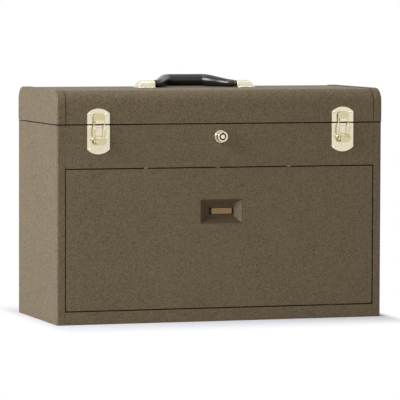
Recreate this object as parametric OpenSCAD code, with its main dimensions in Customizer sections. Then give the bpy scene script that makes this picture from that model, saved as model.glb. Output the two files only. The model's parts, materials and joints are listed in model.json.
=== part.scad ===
// Machinist's portable tool box: a steel case with seven drawers behind a lift-off front
// panel, a till under a hinged lid, two draw latches, a plunger lock and a folding handle.
// Millimetres. X is the width, the front faces -Y, +Z is up, the origin is the middle of the base.

/* [Case] */
// Width of the case over its end panels
case_w = 511; // [440:1:620]
// Depth of the case, front face to back face
case_d = 216; // [190:1:260]
// Height of the case under the lid
case_h = 295; // [245:1:355]
// Thickness of the case sheet
sheet = 1.0; // [0.8:0.1:1.4]
// Width of the end panels' turned front and back flanges
flange_w = 12.3; // [9:0.1:16]
// Outer radius of the end panels' bends
bend_r = 2.5; // [1.8:0.1:4]
// Height of the sill under the front panel
sill_h = 18.9; // [14:0.1:24]
// Height of the header above the front panel
header_h = 63.8; // [58:0.1:80]
// Gap that shows round the front panel
panel_gap = 1.6; // [1:0.1:2.4]

/* [Lid] */
// Height of the lid over its flat top
lid_h = 49.9; // [42:0.1:70]
// Radius of the lid's long front and back bends
lid_r = 20; // [12:0.5:26]
// Gap between the lid and the case
lid_gap = 1.6; // [1.2:0.1:3]
// Thickness of the lid's end caps
cap_sheet = 0.8; // [0.6:0.1:1.2]
// Radius of the end caps' rim
cap_rim_r = 3; // [1.5:0.1:4]
// How far the lid opens, in degrees
lid_open = 95; // [80:1:100]

/* [Front panel] */
// Depth of the front panel's turned edges
panel_edge = 12; // [11:0.1:13]
// How far the middle of the finger recess lies below the panel's top edge
recess_drop = 65.1; // [35:0.1:110]
// Width of the finger recess at the face
recess_w = 66.5; // [50:0.5:90]
// Height of the finger recess at the face
recess_h = 36.5; // [28:0.5:44]
// Depth of the finger recess
recess_deep = 8.5; // [5:0.1:9]

/* [Drawers] */
// Height of the storage slot for the front panel
slot_h = 15; // [13:0.1:22]
// Thickness of the drawer sheet
drawer_sheet = 0.8; // [0.6:0.1:1.2]
// Width of the middle drawer's front
centre_w = 150; // [110:1:190]
// Gap between the drawer fronts
front_gap = 2; // [1.4:0.1:3]
// Radius of a drawer knob
knob_r = 6.5; // [5:0.1:8]

/* [Latches and lock] */
// Distance of each latch from the middle
latch_x = 192.3; // [150:0.1:205]
// Width of the latch plates
latch_w = 34.8; // [32:0.1:42]
// Side offset of the lock and its bar
lock_x = -3; // [-20:1:20]
// Radius of the lock's plunger
plunger_r = 7.9; // [6.5:0.1:9.5]
// How far the plunger stands out when unlocked
plunger_out = 14.5; // [13:0.5:18]
// How far the plunger is pushed in to lock
plunger_travel = 8; // [6:0.5:8.5]
// Distance of the outer lock tabs from the middle one
tab_x = 113; // [80:1:150]

/* [Handle] */
// Side offset of the handle
handle_x = -5; // [-20:1:20]
// How far behind the lid's middle the handle's pivot line is
handle_y = 10; // [-10:1:20]
// Length of the grip between the brackets
grip_l = 128.6; // [115:0.1:150]
// How far the grip's middle lies from its pivot line
grip_reach = 44; // [34:1:54]
// Radius of the grip in the middle
grip_r = 9.3; // [8.5:0.1:11.5]
// Radius of the grip at its ends
grip_end_r = 5.2; // [4.5:0.1:5.8]
// Radius of the handle pins
handle_pin_r = 2.6; // [2:0.1:3]

/* [Hidden] */
$fn = 48;

// Colours, as the parts look
paint = "#645745";
nickel = "#d8d2bd";
zinc = "#a9a8a2";
black = "#191614";
brass = "#a5834f";
felt = "#5a4a34";

// Clearances: faces that are welded or riveted, loose fits, running fits
touch = 0.1;
loose = 0.3;
run = 0.06;
eps = 0.2;

// Case
front_y = -case_d / 2;
back_y = case_d / 2;
in_x = case_w / 2 - sheet;
lap_x = in_x - touch;
bend_in = in_x - (bend_r - sheet) - touch;
open_x = case_w / 2 - flange_w;
header_z = case_h - header_h;
in_front = front_y + sheet;
in_back = back_y - sheet;
pan_lip = 15;
lap_tab = 10;
top_lip = 7;
header_lip = 12;
sill_lip = 8;
back_face = in_back - sheet;

// Front panel
panel_x = open_x - panel_gap;
panel_z0 = sill_h + panel_gap;
panel_z1 = header_z - panel_gap;
panel_back = front_y + panel_edge;
recess_z = panel_z1 - recess_drop;
corner_relief = 1.8;
key_x = case_w * 0.35;
key_w = 12;
key_y = front_y + 4.5;
key_play = 0.5;
floor_w = recess_w - 22;
floor_h = recess_h - 17;
floor_up = 1.4;
slot_x = 2.2;
slot_w = floor_w - 5.5;
slot_open_h = floor_h - 9.5;
plate_w = slot_w - 7;
plate_in = 0.2;
plate_h = slot_open_h - 1.2;

// Storage slot, drawers and till
shelf_z = panel_z0 + slot_h;
drawer_z0 = shelf_z + 2 * sheet + 0.5;
till_z = header_z + sheet;
pitch = (header_z - 2.6 - drawer_z0) / 4;
front_h = pitch - front_gap;
drawer_y0 = panel_back + 2;
drawer_y1 = back_face - 6;
ledge_up = 0.8;
ledge_t = 1;
wall_drop = 4.85;
front_x = open_x - 2.7;
box_inset = 2.5;
partition_x = centre_w / 2 + front_gap;
outer_x0 = partition_x + front_gap + 0.5;
ledge_in = 1.8;
guide_h = 6;
mid_z = drawer_z0 + 2 * pitch - 1.8;
till_lip = 10;
felt_t = 1;

// Hinge and lid
hinge_y = back_y + 2.6;
hinge_z = case_h + lid_gap / 2;
knuckle_r = 2.4;
hinge_pin_r = 1.2;
leaf = 1.2;
leaf_w = 17;
knuckles = 15;
hinge_x = open_x - 3;
knuckle_l = 2 * hinge_x / knuckles;
lid_z = case_h + lid_gap;
lid_top = lid_z + lid_h;
cap_out = cap_sheet + touch;
cap_x = case_w / 2 + 0.5;
seam_x = open_x - 0.2;
shell_x = cap_x - cap_sheet - 2.2;
hem = 5;

// Lid stays: the pivot and the stud lie on one circle round the hinge, so an arm turns
// half as far as the lid
stay_r = 40;
stay_pivot_a = 230;
stay_stud_a = 170;
stay_pivot = [hinge_y + stay_r * cos(stay_pivot_a), hinge_z + stay_r * sin(stay_pivot_a)];
stay_stud = [hinge_y + stay_r * cos(stay_stud_a), hinge_z + stay_r * sin(stay_stud_a)];
stay_dir = (stay_pivot_a + stay_stud_a) / 2 - 90;
stay_shut = 2 * stay_r * sin((stay_pivot_a - stay_stud_a) / 2);
stay_wide = 2 * stay_r * sin((stay_pivot_a - stay_stud_a + lid_open) / 2);
stay_half = 4.5;
stay_t = 1.5;
stay_x = in_x - 3;
stud_r = 2;
pivot_r = 2.5;

// Latches
plate_t = 1.2;
latch_face = front_y - plate_t;
arch_rise = 7.2;
keeper_z0 = lid_z + 0.2;
keeper_z1 = keeper_z0 + 22.9;
latch_z0 = case_h - 43;
pivot_y = front_y - 4.6;
pivot_z = latch_z0 + 23;
crank = 5.6;
crank_a = 45;
link_y = pivot_y - crank * sin(crank_a);
link_z = pivot_z - crank * cos(crank_a);
lever_w = 13.2;
lever_skin = 1.1;
lever_front = link_y - 4;
tongue_z = pivot_z - 9;
link_in = lever_w / 2 + loose;
link_out = link_in + 1.9;
link_t = 1.2;
link_up_y = front_y - 4;
link_top = keeper_z1 - 6.8;
link_corner = 5.5;
lug_z = keeper_z0 + 0.9;
lug_h = 3.6;
lug_t = 1.2;
lip_over = 0.6;
bridge_z = lug_z + lug_h + 0.2;
lip_y = link_up_y - link_t / 2 - 1.6;
ear_in = link_out + 0.8;
ear_t = 1.2;
latch_pin_r = 1.6;
link_pin_r = 1.3;

// Lock
lock_z = case_h - 18.3;
collar_r = plunger_r + 1.4;
barrel_r = plunger_r + 0.8;
collar_t = 4;
plunger_front = front_y - plunger_out;
plunger_back = front_y + 7;
core_r = 5.3;
post_r = 3.4;
key_deep = 5;
core_l = 14;
key_pins = 7;
bar_x = lock_x - 2;
nut_r = 13;
strike_y = front_y + 10.8;
strike_t = 1.2;
strike_w = 28;
bar_z = header_z + 7;
bar_h = 10;
bar_y = in_front + 1.6;
bar_t = 2;
bar_over = 12;
tab_w = 5;
tab_tip = panel_z1 + 0.3;
guide_w = 8;

// Handle
handle_z = lid_top + 6;
grip_rest = 0.9;
grip_bend = 40;
lie_a = asin((lid_top + grip_r + grip_rest - handle_z) / grip_reach);
bracket_x0 = grip_l / 2 + 1.5;
bracket_x1 = bracket_x0 + 25;
bracket_w = 24;
bracket_h = 11.2;
bracket_t = 1.2;
bracket_end_r = 9;
base_w = 36;

// A box from its six faces
module slab(x0, x1, y0, y1, z0, z1) {
    translate([x0, y0, z0]) cube([x1 - x0, y1 - y0, z1 - z0]);
}

// A profile drawn in (y, z), run along X
module along_x(x0, x1) {
    translate([x0, 0, 0]) rotate([90, 0, 90]) linear_extrude(x1 - x0) children();
}

// A profile drawn in (x, z), run along Y
module along_y(y0, y1) {
    translate([0, y1, 0]) rotate([90, 0, 0]) linear_extrude(y1 - y0) children();
}

module pin_x(x0, x1, y, z, r) {
    translate([x0, y, z]) rotate([0, 90, 0]) cylinder(h = x1 - x0, r = r);
}

module pin_y(y0, y1, x, z, r) {
    translate([x, y1, z]) rotate([90, 0, 0]) cylinder(h = y1 - y0, r = r);
}

module both_sides() {
    children();
    mirror([1, 0, 0]) children();
}

// A square with rounded corners, from its two corners
module round_square(a, b, r) {
    translate([a[0] + r, a[1]]) square([b[0] - a[0] - 2 * r, b[1] - a[1]]);
    translate([a[0], a[1] + r]) square([b[0] - a[0], b[1] - a[1] - 2 * r]);
    for (x = [a[0] + r, b[0] - r], z = [a[1] + r, b[1] - r]) translate([x, z]) circle(r);
}

// A rounded bar from a point, in a direction, with half width w
module strap(l, w) {
    translate([0, -w]) square([l, 2 * w]);
    circle(w);
    translate([l, 0]) circle(w);
}

// A domed rivet head standing on a face, pointing along +Z
module rivet_head(r) {
    rotate_extrude() intersection() {
        translate([0, -r * 0.55]) circle(r * 1.14);
        square([r, r]);
    }
}

// ---- Case ----

// One end panel: a sheet with its front and back edges turned in
module end_panel() {
    difference() {
        linear_extrude(case_h)
            round_square([open_x - 2 * bend_r, front_y], [case_w / 2, back_y], bend_r);
        translate([0, 0, -1]) linear_extrude(case_h + 2)
            round_square([open_x - 4 * bend_r, in_front], [in_x, in_back], bend_r - sheet);
        slab(open_x - 5 * bend_r, open_x, front_y - 1, back_y + 1, -1, case_h + 1);
    }
}

module right_end() {
    color(paint) end_panel();
}

module left_end() {
    color(paint) mirror([1, 0, 0]) end_panel();
}

// The tabs that lap behind the end panels' flanges
module lap_tabs(z0, z1) {
    both_sides() {
        slab(open_x - lap_tab, bend_in, in_front, in_front + sheet, z0, z1);
        slab(open_x - lap_tab, seam_x, in_front - eps, in_front + sheet, z0, z1);
    }
}

module back_panel() {
    color(paint) slab(-bend_in, bend_in, back_face, in_back, sheet + touch, case_h);
}

module bottom_pan() {
    color(paint) {
        slab(-bend_in, bend_in, in_front + touch, back_face - touch, 0, sheet);
        slab(-lap_x, lap_x, in_front + 3, back_face - 3, 0, sheet);
        slab(-seam_x, seam_x, front_y, in_front + 1, 0, sheet);
        slab(-seam_x, seam_x, front_y, in_front, 0, sill_h);
        slab(-seam_x, seam_x, front_y, front_y + sill_lip, sill_h - sheet, sill_h);
        lap_tabs(sheet / 2, sill_h);
        both_sides() slab(lap_x - sheet, lap_x, in_front + 3, back_face - 3, 0, pan_lip);
        slab(-bend_in, bend_in, back_face - touch - sheet, back_face - touch, 0, pan_lip);
        // The keys that stand in the front panel's bottom notches
        both_sides() slab(key_x - key_w / 2, key_x + key_w / 2, key_y, key_y + sheet,
            sill_h - eps, panel_z0 + 3);
    }
}

module front_header() {
    color(paint) difference() {
        union() {
            slab(-seam_x, seam_x, front_y, in_front, header_z, case_h);
            slab(-seam_x, seam_x, front_y, front_y + top_lip, case_h - sheet, case_h);
            slab(-seam_x, seam_x, front_y, front_y + header_lip, header_z, header_z + sheet);
            lap_tabs(header_z, case_h);
        }
        pin_y(front_y - 1, in_front + 1, lock_x, lock_z, barrel_r + run);
        for (i = [-1, 0, 1]) slab(bar_x + i * tab_x - tab_w / 2 - loose,
            bar_x + i * tab_x + tab_w / 2 + loose,
            bar_y - loose, bar_y + bar_t + loose, header_z - 1, header_z + sheet + 1);
    }
}

module till_floor() {
    y0 = front_y + header_lip - 1;
    color(paint) {
        slab(-lap_x, lap_x, y0, back_face - touch, till_z, till_z + sheet);
        both_sides() slab(lap_x - sheet, lap_x, y0, back_face - touch, till_z, till_z + till_lip);
        slab(-lap_x, lap_x, back_face - touch - sheet, back_face - touch, till_z, till_z + till_lip);
    }
}

module till_felt() {
    inset = sheet + touch + 0.4;
    color(felt) slab(-lap_x + inset, lap_x - inset, front_y + header_lip + 1,
        back_face - inset, till_z + sheet, till_z + sheet + felt_t);
}

// A shelf across the case with its ends turned up against the end panels
module cross_shelf(z) {
    y0 = drawer_y0 + 2;
    slab(-lap_x, lap_x, y0, back_face - touch, z, z + sheet);
    both_sides() slab(lap_x - sheet, lap_x, y0, back_face - touch, z, z + 8);
}

module mid_shelf() {
    color(zinc) cross_shelf(mid_z);
}

module storage_shelf() {
    color(zinc) cross_shelf(shelf_z);
}

module drawer_partitions() {
    color(zinc) both_sides() slab(partition_x - sheet / 2, partition_x + sheet / 2,
        drawer_y0 + 2, back_face - touch, mid_z + sheet, till_z - touch);
}

function row_z(row) = drawer_z0 + row * pitch;

// A runner on an end panel: the ledge that a drawer slides on and the rib that guides it
module end_runner(row) {
    z = row_z(row) + ledge_up;
    side = front_x - box_inset;
    along_y(drawer_y0 + 2, back_face - touch) {
        translate([side - ledge_in, z - ledge_t]) square([lap_x - sheet - touch - side + ledge_in, ledge_t]);
        translate([lap_x - 2 * sheet - touch, z - ledge_t]) square([sheet, 14]);
        translate([side + 1, z - ledge_t]) square([1, guide_h]);
    }
}

// A runner on a partition, on its outer side (dir 1) or its inner side (dir -1)
module partition_runner(row, dir) {
    z = row_z(row) + ledge_up;
    side = dir > 0 ? outer_x0 + box_inset : centre_w / 2 - box_inset;
    face = partition_x + dir * sheet / 2;
    along_y(drawer_y0 + 2, back_face - touch) {
        translate([min(face, side + dir * ledge_in), z - ledge_t])
            square([abs(side + dir * ledge_in - face), ledge_t]);
        translate([min(face, face + dir), z - ledge_t]) square([1, guide_h]);
    }
}

module drawer_runners() {
    color(zinc) both_sides() {
        for (row = [0 : 3]) end_runner(row);
        for (row = [2, 3]) partition_runner(row, 1);
        partition_runner(2, -1);
    }
}

// ---- Drawers ----

// A sheet drawer with a taller front, standing in rows row to row + tall - 1
module drawer(x0, x1, row, tall) {
    z0 = row_z(row);
    z1 = z0 + tall * pitch - front_gap;
    b0 = z0 + ledge_up + loose;
    b1 = z1 - wall_drop;
    t = drawer_sheet;
    difference() {
        union() {
            slab(x0, x1, drawer_y0, drawer_y0 + t, z0, z1);
            slab(x0 + box_inset, x1 - box_inset, drawer_y0, drawer_y1, b0, b1);
        }
        slab(x0 + box_inset + t, x1 - box_inset - t, drawer_y0 + t, drawer_y1 - t, b0 + t, z1 + 1);
    }
}

// A drawer knob: a foot, a neck and a crowned head
module knob(x, z) {
    translate([x, drawer_y0, z]) rotate([90, 0, 0]) rotate_extrude() {
        square([knob_r * 0.7, 1]);
        square([knob_r * 0.42, 6]);
        translate([0, 5]) square([knob_r - 1, 3]);
        translate([knob_r - 1, 6]) circle(1);
        square([knob_r - 1, 0.5]);
    }
}

module drawer_bottom() {
    color(paint) drawer(-front_x, front_x, 0, 1);
}

module drawer_lower() {
    color(paint) drawer(-front_x, front_x, 1, 1);
}

module drawer_centre() {
    color(paint) drawer(-centre_w / 2, centre_w / 2, 2, 2);
}

module right_drawer(row) {
    drawer(outer_x0, front_x, row, 1);
}

module drawer_right_low() {
    color(paint) right_drawer(2);
}

module drawer_right_high() {
    color(paint) right_drawer(3);
}

module drawer_left_low() {
    color(paint) mirror([1, 0, 0]) right_drawer(2);
}

module drawer_left_high() {
    color(paint) mirror([1, 0, 0]) right_drawer(3);
}

function row_mid(row) = row_z(row) + front_h / 2;
side_knob_x = (outer_x0 + front_x) / 2;

module knobs_bottom() {
    color(nickel) both_sides() knob(front_x / 2, row_mid(0));
}

module knobs_lower() {
    color(nickel) both_sides() knob(front_x / 2, row_mid(1));
}

module knob_centre() {
    color(nickel) knob(0, row_mid(3));
}

module knob_right_low() {
    color(nickel) knob(side_knob_x, row_mid(2));
}

module knob_right_high() {
    color(nickel) knob(side_knob_x, row_mid(3));
}

module knob_left_low() {
    color(nickel) knob(-side_knob_x, row_mid(2));
}

module knob_left_high() {
    color(nickel) knob(-side_knob_x, row_mid(3));
}

// ---- Front panel ----

module front_panel() {
    z0 = panel_z0;
    z1 = panel_z1;
    color(paint) difference() {
        slab(-panel_x, panel_x, front_y, panel_back, z0, z1);
        slab(-panel_x + sheet, panel_x - sheet, in_front, panel_back + 1, z0 + sheet, z1 - sheet);
        slab(-recess_w / 2, recess_w / 2, front_y - 1, in_front + 1,
            recess_z - recess_h / 2, recess_z + recess_h / 2);
        both_sides() {
            // Slots that the keys on the sill stand in, open to the back
            slab(key_x - key_w / 2 - key_play, key_x + key_w / 2 + key_play, key_y - key_play, panel_back + 1,
                z0 - 1, z0 + sheet + 1);
            // The bend reliefs at the bottom corners
            slab(panel_x - corner_relief, panel_x + 1, front_y - 1, in_front + 1,
                z0 - 1, z0 + corner_relief);
        }
        for (i = [-1, 0, 1]) slab(bar_x + i * tab_x - tab_w / 2 - 1, bar_x + i * tab_x + tab_w / 2 + 1,
            bar_y - 1, bar_y + bar_t + 1, z1 - sheet - 1, z1 + 1);
    }
}

// A four-sided taper from the face of the panel back to depth deep
module taper(w0, h0, w1, h1, y0, deep, up) {
    p0 = [for (s = [[-1, -1], [1, -1], [1, 1], [-1, 1]]) [s[0] * w0 / 2, y0, recess_z + s[1] * h0 / 2]];
    p1 = [for (s = [[-1, -1], [1, -1], [1, 1], [-1, 1]])
        [s[0] * w1 / 2, y0 + deep, recess_z + up + s[1] * h1 / 2]];
    polyhedron(concat(p0, p1), [[3, 2, 1, 0], [5, 6, 7, 4],
        [1, 5, 4, 0], [2, 6, 5, 1], [3, 7, 6, 2], [0, 4, 7, 3]]);
}

module finger_cup() {
    t = sheet;
    color(paint) difference() {
        taper(recess_w - touch, recess_h - touch, floor_w + 2 * t, floor_h + 2 * t, front_y,
            recess_deep + t, floor_up);
        taper(recess_w - 2 * t, recess_h - 2 * t, floor_w, floor_h, front_y, recess_deep, floor_up);
        slab(-recess_w / 2 + t, recess_w / 2 - t, front_y - 1, front_y + 0.001,
            recess_z - recess_h / 2 + t, recess_z + recess_h / 2 - t);
        slab(slot_x - slot_w / 2, slot_x + slot_w / 2, front_y + recess_deep - 1, front_y + recess_deep + t + 1,
            recess_z - slot_open_h / 2, recess_z + slot_open_h / 2);
    }
}

module pull_plate() {
    y = front_y + recess_deep;
    color(brass) translate([slot_x, 0, 0]) {
        along_y(y + plate_in, y + sheet + touch)
            round_square([-plate_w / 2 + 0.8, recess_z - plate_h / 2],
                [plate_w / 2 + 0.8, recess_z + plate_h / 2], 0.6);
        both_sides() slab(plate_w / 2 - 4, slot_w / 2 + 2.4, y + sheet, y + sheet + 0.8,
            recess_z - plate_h / 2 + 1, recess_z + plate_h / 2 - 1);
    }
}

// ---- Hinge ----

// Every second knuckle, cut back a little at its ends; first is 0 or 1
module knuckle_row(first) {
    for (i = [first : 2 : knuckles - 1])
        pin_x(-hinge_x + i * knuckle_l + 0.15, -hinge_x + (i + 1) * knuckle_l - 0.15,
            hinge_y, hinge_z, knuckle_r);
}

module knuckle_tabs(first, y0, z0, z1) {
    for (i = [first : 2 : knuckles - 1])
        slab(-hinge_x + i * knuckle_l + 0.15, -hinge_x + (i + 1) * knuckle_l - 0.15,
            y0, hinge_y, z0, z1);
}

module hinge_case_leaf() {
    z1 = hinge_z - knuckle_r;
    color(zinc) difference() {
        union() {
            slab(-hinge_x, hinge_x, in_back, in_back + leaf, z1 - leaf_w, z1 - 0.3);
            knuckle_tabs(0, in_back, z1 - 0.4, z1 + leaf);
            knuckle_row(0);
        }
        pin_x(-hinge_x - 1, hinge_x + 1, hinge_y, hinge_z, hinge_pin_r + run);
    }
}

module hinge_lid_leaf() {
    z0 = hinge_z + knuckle_r;
    color(zinc) difference() {
        union() {
            slab(-hinge_x, hinge_x, back_y, back_y + leaf, z0 + 0.2, z0 + leaf_w);
            knuckle_tabs(1, back_y, z0 - leaf, z0 + 0.3);
            knuckle_row(1);
        }
        pin_x(-hinge_x - 1, hinge_x + 1, hinge_y, hinge_z, hinge_pin_r + run);
    }
}

module hinge_pin() {
    color(zinc) {
        pin_x(-hinge_x - 0.8, hinge_x + 0.8, hinge_y, hinge_z, hinge_pin_r);
        both_sides() pin_x(hinge_x + 0.3, hinge_x + 1.3, hinge_y, hinge_z, hinge_pin_r + 0.7);
    }
}

// ---- Lid ----

// The lid's outline in (y, z), grown outward by g
module lid_outline(g) {
    r = lid_r + g;
    translate([front_y - g, lid_z]) square([case_d + 2 * g, lid_h + g - r]);
    translate([front_y - g + r, lid_z]) square([case_d + 2 * g - 2 * r, lid_h + g]);
    for (y = [front_y - g + r, back_y + g - r]) translate([y, lid_top + g - r]) circle(r);
}

module lid_shell() {
    color(paint) {
        along_x(-shell_x, shell_x) difference() {
            lid_outline(0);
            lid_outline(-sheet);
            translate([front_y + sheet, lid_z - 1]) square([case_d - 2 * sheet, lid_h / 2]);
        }
        // Folded hems along the bottom edges
        slab(-shell_x, shell_x, in_front - eps, in_front + 0.8, lid_z, lid_z + hem);
        slab(-shell_x, shell_x, in_back - 0.8, in_back + eps, lid_z, lid_z + hem);
    }
}

// A lid end block whose rim, between the outline and the end face at x1, has radius r
module rim_block(x0, x1, g, r) {
    big = lid_r + g;
    difference() {
        along_x(x0, x1) lid_outline(g);
        for (s = [-1, 1]) {
            // Down the front and back edges
            translate([x1 - r, s * (case_d / 2 + g - r), lid_z - 1])
                linear_extrude(lid_h + g - big + 1 + 0.001) rim_cut(r, s);
            // Round the long bends
            translate([x1 - r, s * (case_d / 2 + g - big), lid_top + g - big]) rotate([0, 90, 0])
                rotate([0, 0, s > 0 ? 90 : 180]) rotate_extrude(angle = 90)
                    translate([big - r, 0]) difference() {
                        square([r + 1, r + 1]);
                        circle(r);
                    }
        }
        // Along the top edge
        translate([x1 - r, case_d / 2 + g - big + 0.001, lid_top + g - r]) rotate([90, 0, 0])
            linear_extrude(case_d + 2 * g - 2 * big + 0.002) rim_cut(r, 1);
    }
}

module rim_cut(r, s) {
    difference() {
        translate([0, s > 0 ? 0 : -r - 1]) square([r + 1, r + 1]);
        circle(r);
    }
}

module lid_cap() {
    inner = cap_rim_r - cap_sheet;
    difference() {
        rim_block(seam_x, cap_x, cap_out, cap_rim_r);
        rim_block(seam_x - 1, cap_x - cap_sheet, touch, inner);
        slab(seam_x - 1, cap_x - cap_sheet, front_y - touch, back_y + touch, lid_z - 1, lid_z + 1);
    }
}

module lid_right_end() {
    color(paint) lid_cap();
}

module lid_left_end() {
    color(paint) mirror([1, 0, 0]) lid_cap();
}

// ---- Lid stays ----

module stay() {
    along_x(stay_x - stay_t, stay_x) translate(stay_pivot) rotate(stay_dir) difference() {
        strap(stay_wide + 0.3, stay_half);
        circle(pivot_r + run);
        translate([stay_shut - 0.3, 0]) strap(stay_wide - stay_shut + 0.6, stud_r + touch);
    }
}

module stay_right() {
    color(zinc) stay();
}

module stay_left() {
    color(zinc) mirror([1, 0, 0]) stay();
}

// A shouldered stud from a wall at x1 through the stay to a head inside it
module stay_post(at, x1, r) {
    pin_x(stay_x + touch, x1, at[0], at[1], r + 1.5);
    pin_x(stay_x - stay_t - loose, stay_x + 1, at[0], at[1], r);
    pin_x(stay_x - stay_t - loose - 1, stay_x - stay_t - touch, at[0], at[1], r + 1.8);
}

module stay_pivots() {
    color(zinc) both_sides() stay_post(stay_pivot, in_x, pivot_r);
}

module stay_studs() {
    color(zinc) both_sides() stay_post(stay_stud, cap_x - cap_sheet, stud_r);
}

// ---- Latches ----

// A plate in (x, z) with one arched end: up (s 1) or down (s -1)
module arched_plate(z0, z1, s) {
    r = ((latch_w / 2) * (latch_w / 2) + arch_rise * arch_rise) / (2 * arch_rise);
    intersection() {
        translate([-latch_w / 2, z0]) square([latch_w, z1 - z0]);
        translate([0, s > 0 ? z1 - r : z0 + r]) circle(r, $fn = 96);
    }
}

module latch_plate() {
    translate([latch_x, 0, 0]) {
        along_y(latch_face, front_y) arched_plate(latch_z0, case_h, -1);
        both_sides() {
            // The ears that carry the lever's pivot
            difference() {
                along_x(ear_in, ear_in + ear_t) {
                    translate([pivot_y, pivot_z]) circle(3);
                    translate([pivot_y, pivot_z - 3]) square([latch_face - pivot_y + eps, 6]);
                }
                pin_x(ear_in - 1, ear_in + ear_t + 1, pivot_y, pivot_z, latch_pin_r);
            }
            // Pressed stiffening ribs beside the link
            along_x(ear_in + 3, ear_in + 4.6) translate([latch_face - 0.5, pivot_z + 7])
                square([0.5 + eps, 11]);
        }
    }
}

module latch_plates() {
    color(nickel) both_sides() latch_plate();
}

// The pivot pins, with a head outside each ear
module latch_pivots() {
    color(nickel) both_sides() translate([latch_x, 0, 0]) {
        pin_x(-ear_in - ear_t - touch, ear_in + ear_t + touch, pivot_y, pivot_z, latch_pin_r - 0.01);
        both_sides() pin_x(ear_in + ear_t, ear_in + ear_t + 1.2, pivot_y, pivot_z, 2.8);
    }
}

// The finger lever, with the link's pin riveted through its cheeks
module latch_lever() {
    half = lever_w / 2;
    difference() {
        union() {
            translate([latch_x, 0, 0]) along_y(lever_front, lever_front + lever_skin) {
                translate([-half, tongue_z + 3.6]) square([lever_w, pivot_z - tongue_z - 3.8]);
                translate([-half + 3.6, tongue_z]) square([lever_w - 7.2, 4]);
                for (x = [-1, 1]) translate([x * (half - 3.6), tongue_z + 3.6]) circle(3.6);
            }
            both_sides_of_latch() along_x(half - lever_skin, half) {
                translate([pivot_y, pivot_z]) circle(2.9);
                translate([link_y, link_z]) circle(2.2);
                polygon([[lever_front + lever_skin - eps, pivot_z - 0.2], [pivot_y, pivot_z + 2.2],
                    [pivot_y + 1.2, pivot_z - 2.6], [link_y + 1.4, link_z - 1.7],
                    [lever_front + lever_skin - eps, link_z - 2]]);
            }
        }
        pin_x(latch_x - half - 1, latch_x + half + 1, pivot_y, pivot_z, latch_pin_r + run);
    }
    pin_x(latch_x - link_out, latch_x + link_out, link_y, link_z, link_pin_r);
}

module both_sides_of_latch() {
    translate([latch_x, 0, 0]) both_sides() children();
}

// The draw link: a stirrup whose bridge drops behind the keeper's lip
module latch_link() {
    jog_z0 = case_h - 6;
    jog_z1 = case_h;
    difference() {
        union() {
            translate([latch_x, 0, 0]) along_x(-link_out, link_out) {
                translate([link_y - link_t / 2, link_z]) square([link_t, jog_z0 - link_z + eps]);
                polygon([[link_y - link_t / 2, jog_z0], [link_y + link_t / 2, jog_z0],
                    [link_up_y + link_t / 2, jog_z1], [link_up_y - link_t / 2, jog_z1]]);
                translate([link_up_y - link_t / 2, jog_z1 - eps]) square([link_t, link_top - jog_z1 + eps]);
            }
            both_sides_of_latch() pin_x(link_in, link_out, link_y, link_z, 2.5);
        }
        slab(latch_x - link_in, latch_x + link_in, front_y - 20, front_y, link_z - 5, bridge_z);
        // The bridge's rounded top corners
        both_sides_of_latch() along_y(front_y - 20, front_y) difference() {
            translate([link_out - link_corner, link_top - link_corner]) square(link_corner + 1);
            translate([link_out - link_corner, link_top - link_corner]) circle(link_corner);
        }
        pin_x(latch_x - link_out - 1, latch_x + link_out + 1, link_y, link_z, link_pin_r + run);
    }
}

module latch_lever_right() {
    color(nickel) latch_lever();
}

module latch_lever_left() {
    color(nickel) mirror([1, 0, 0]) latch_lever();
}

module latch_link_right() {
    color(nickel) latch_link();
}

module latch_link_left() {
    color(nickel) mirror([1, 0, 0]) latch_link();
}

// The keeper on the lid, with the lug that the link pulls down on
module latch_keepers() {
    lug_w = 2 * (link_in - 0.6);
    color(nickel) both_sides() translate([latch_x, 0, 0]) {
        along_y(latch_face, front_y) arched_plate(keeper_z0, keeper_z1, 1);
        along_x(-lug_w / 2, lug_w / 2) {
            translate([lip_y - lug_t, lug_z + lug_h - lug_t])
                square([latch_face - lip_y + lug_t + eps, lug_t]);
            translate([lip_y - lug_t, lug_z]) square([lug_t, bridge_z + lip_over - lug_z]);
        }
    }
}

// ---- Lock ----

module lock_housing() {
    color(nickel) difference() {
        union() {
            pin_y(front_y - collar_t, front_y, lock_x, lock_z, collar_r);
            pin_y(front_y - 1, plunger_back - 0.6, lock_x, lock_z, barrel_r);
        }
        pin_y(front_y - collar_t - 1, plunger_back + 1, lock_x, lock_z, plunger_r + run);
    }
}

module lock_nut() {
    color(zinc) difference() {
        along_y(in_front + touch, in_front + 3.5) translate([lock_x, lock_z]) circle(nut_r, $fn = 6);
        pin_y(in_front, in_front + 5, lock_x, lock_z, barrel_r + 0.02);
    }
}

module lock_plunger() {
    color(nickel) difference() {
        pin_y(plunger_front, plunger_back, lock_x, lock_z, plunger_r);
        pin_y(plunger_front - 1, plunger_front + key_deep + core_l + run, lock_x, lock_z, core_r + run);
        // The key's notch
        slab(lock_x - 0.8, lock_x + 0.8, plunger_front - 1, plunger_front + key_deep,
            lock_z, lock_z + core_r + 1.2);
    }
}

// The core: a post in a round keyway, with the ends of its pins in the keyway's floor
module lock_core() {
    color(nickel) {
        for (i = [1 : key_pins]) translate([lock_x, 0, lock_z]) rotate([0, 360 * i / (key_pins + 1), 0])
            pin_y(plunger_front + key_deep - 2, plunger_front + key_deep + 1, 0,
                (core_r + post_r) / 2, 0.7);
        pin_y(plunger_front + key_deep, plunger_front + key_deep + core_l, lock_x, lock_z, core_r);
        pin_y(plunger_front + 0.3, plunger_front + key_deep + 1, lock_x, lock_z, post_r);
    }
}

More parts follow.
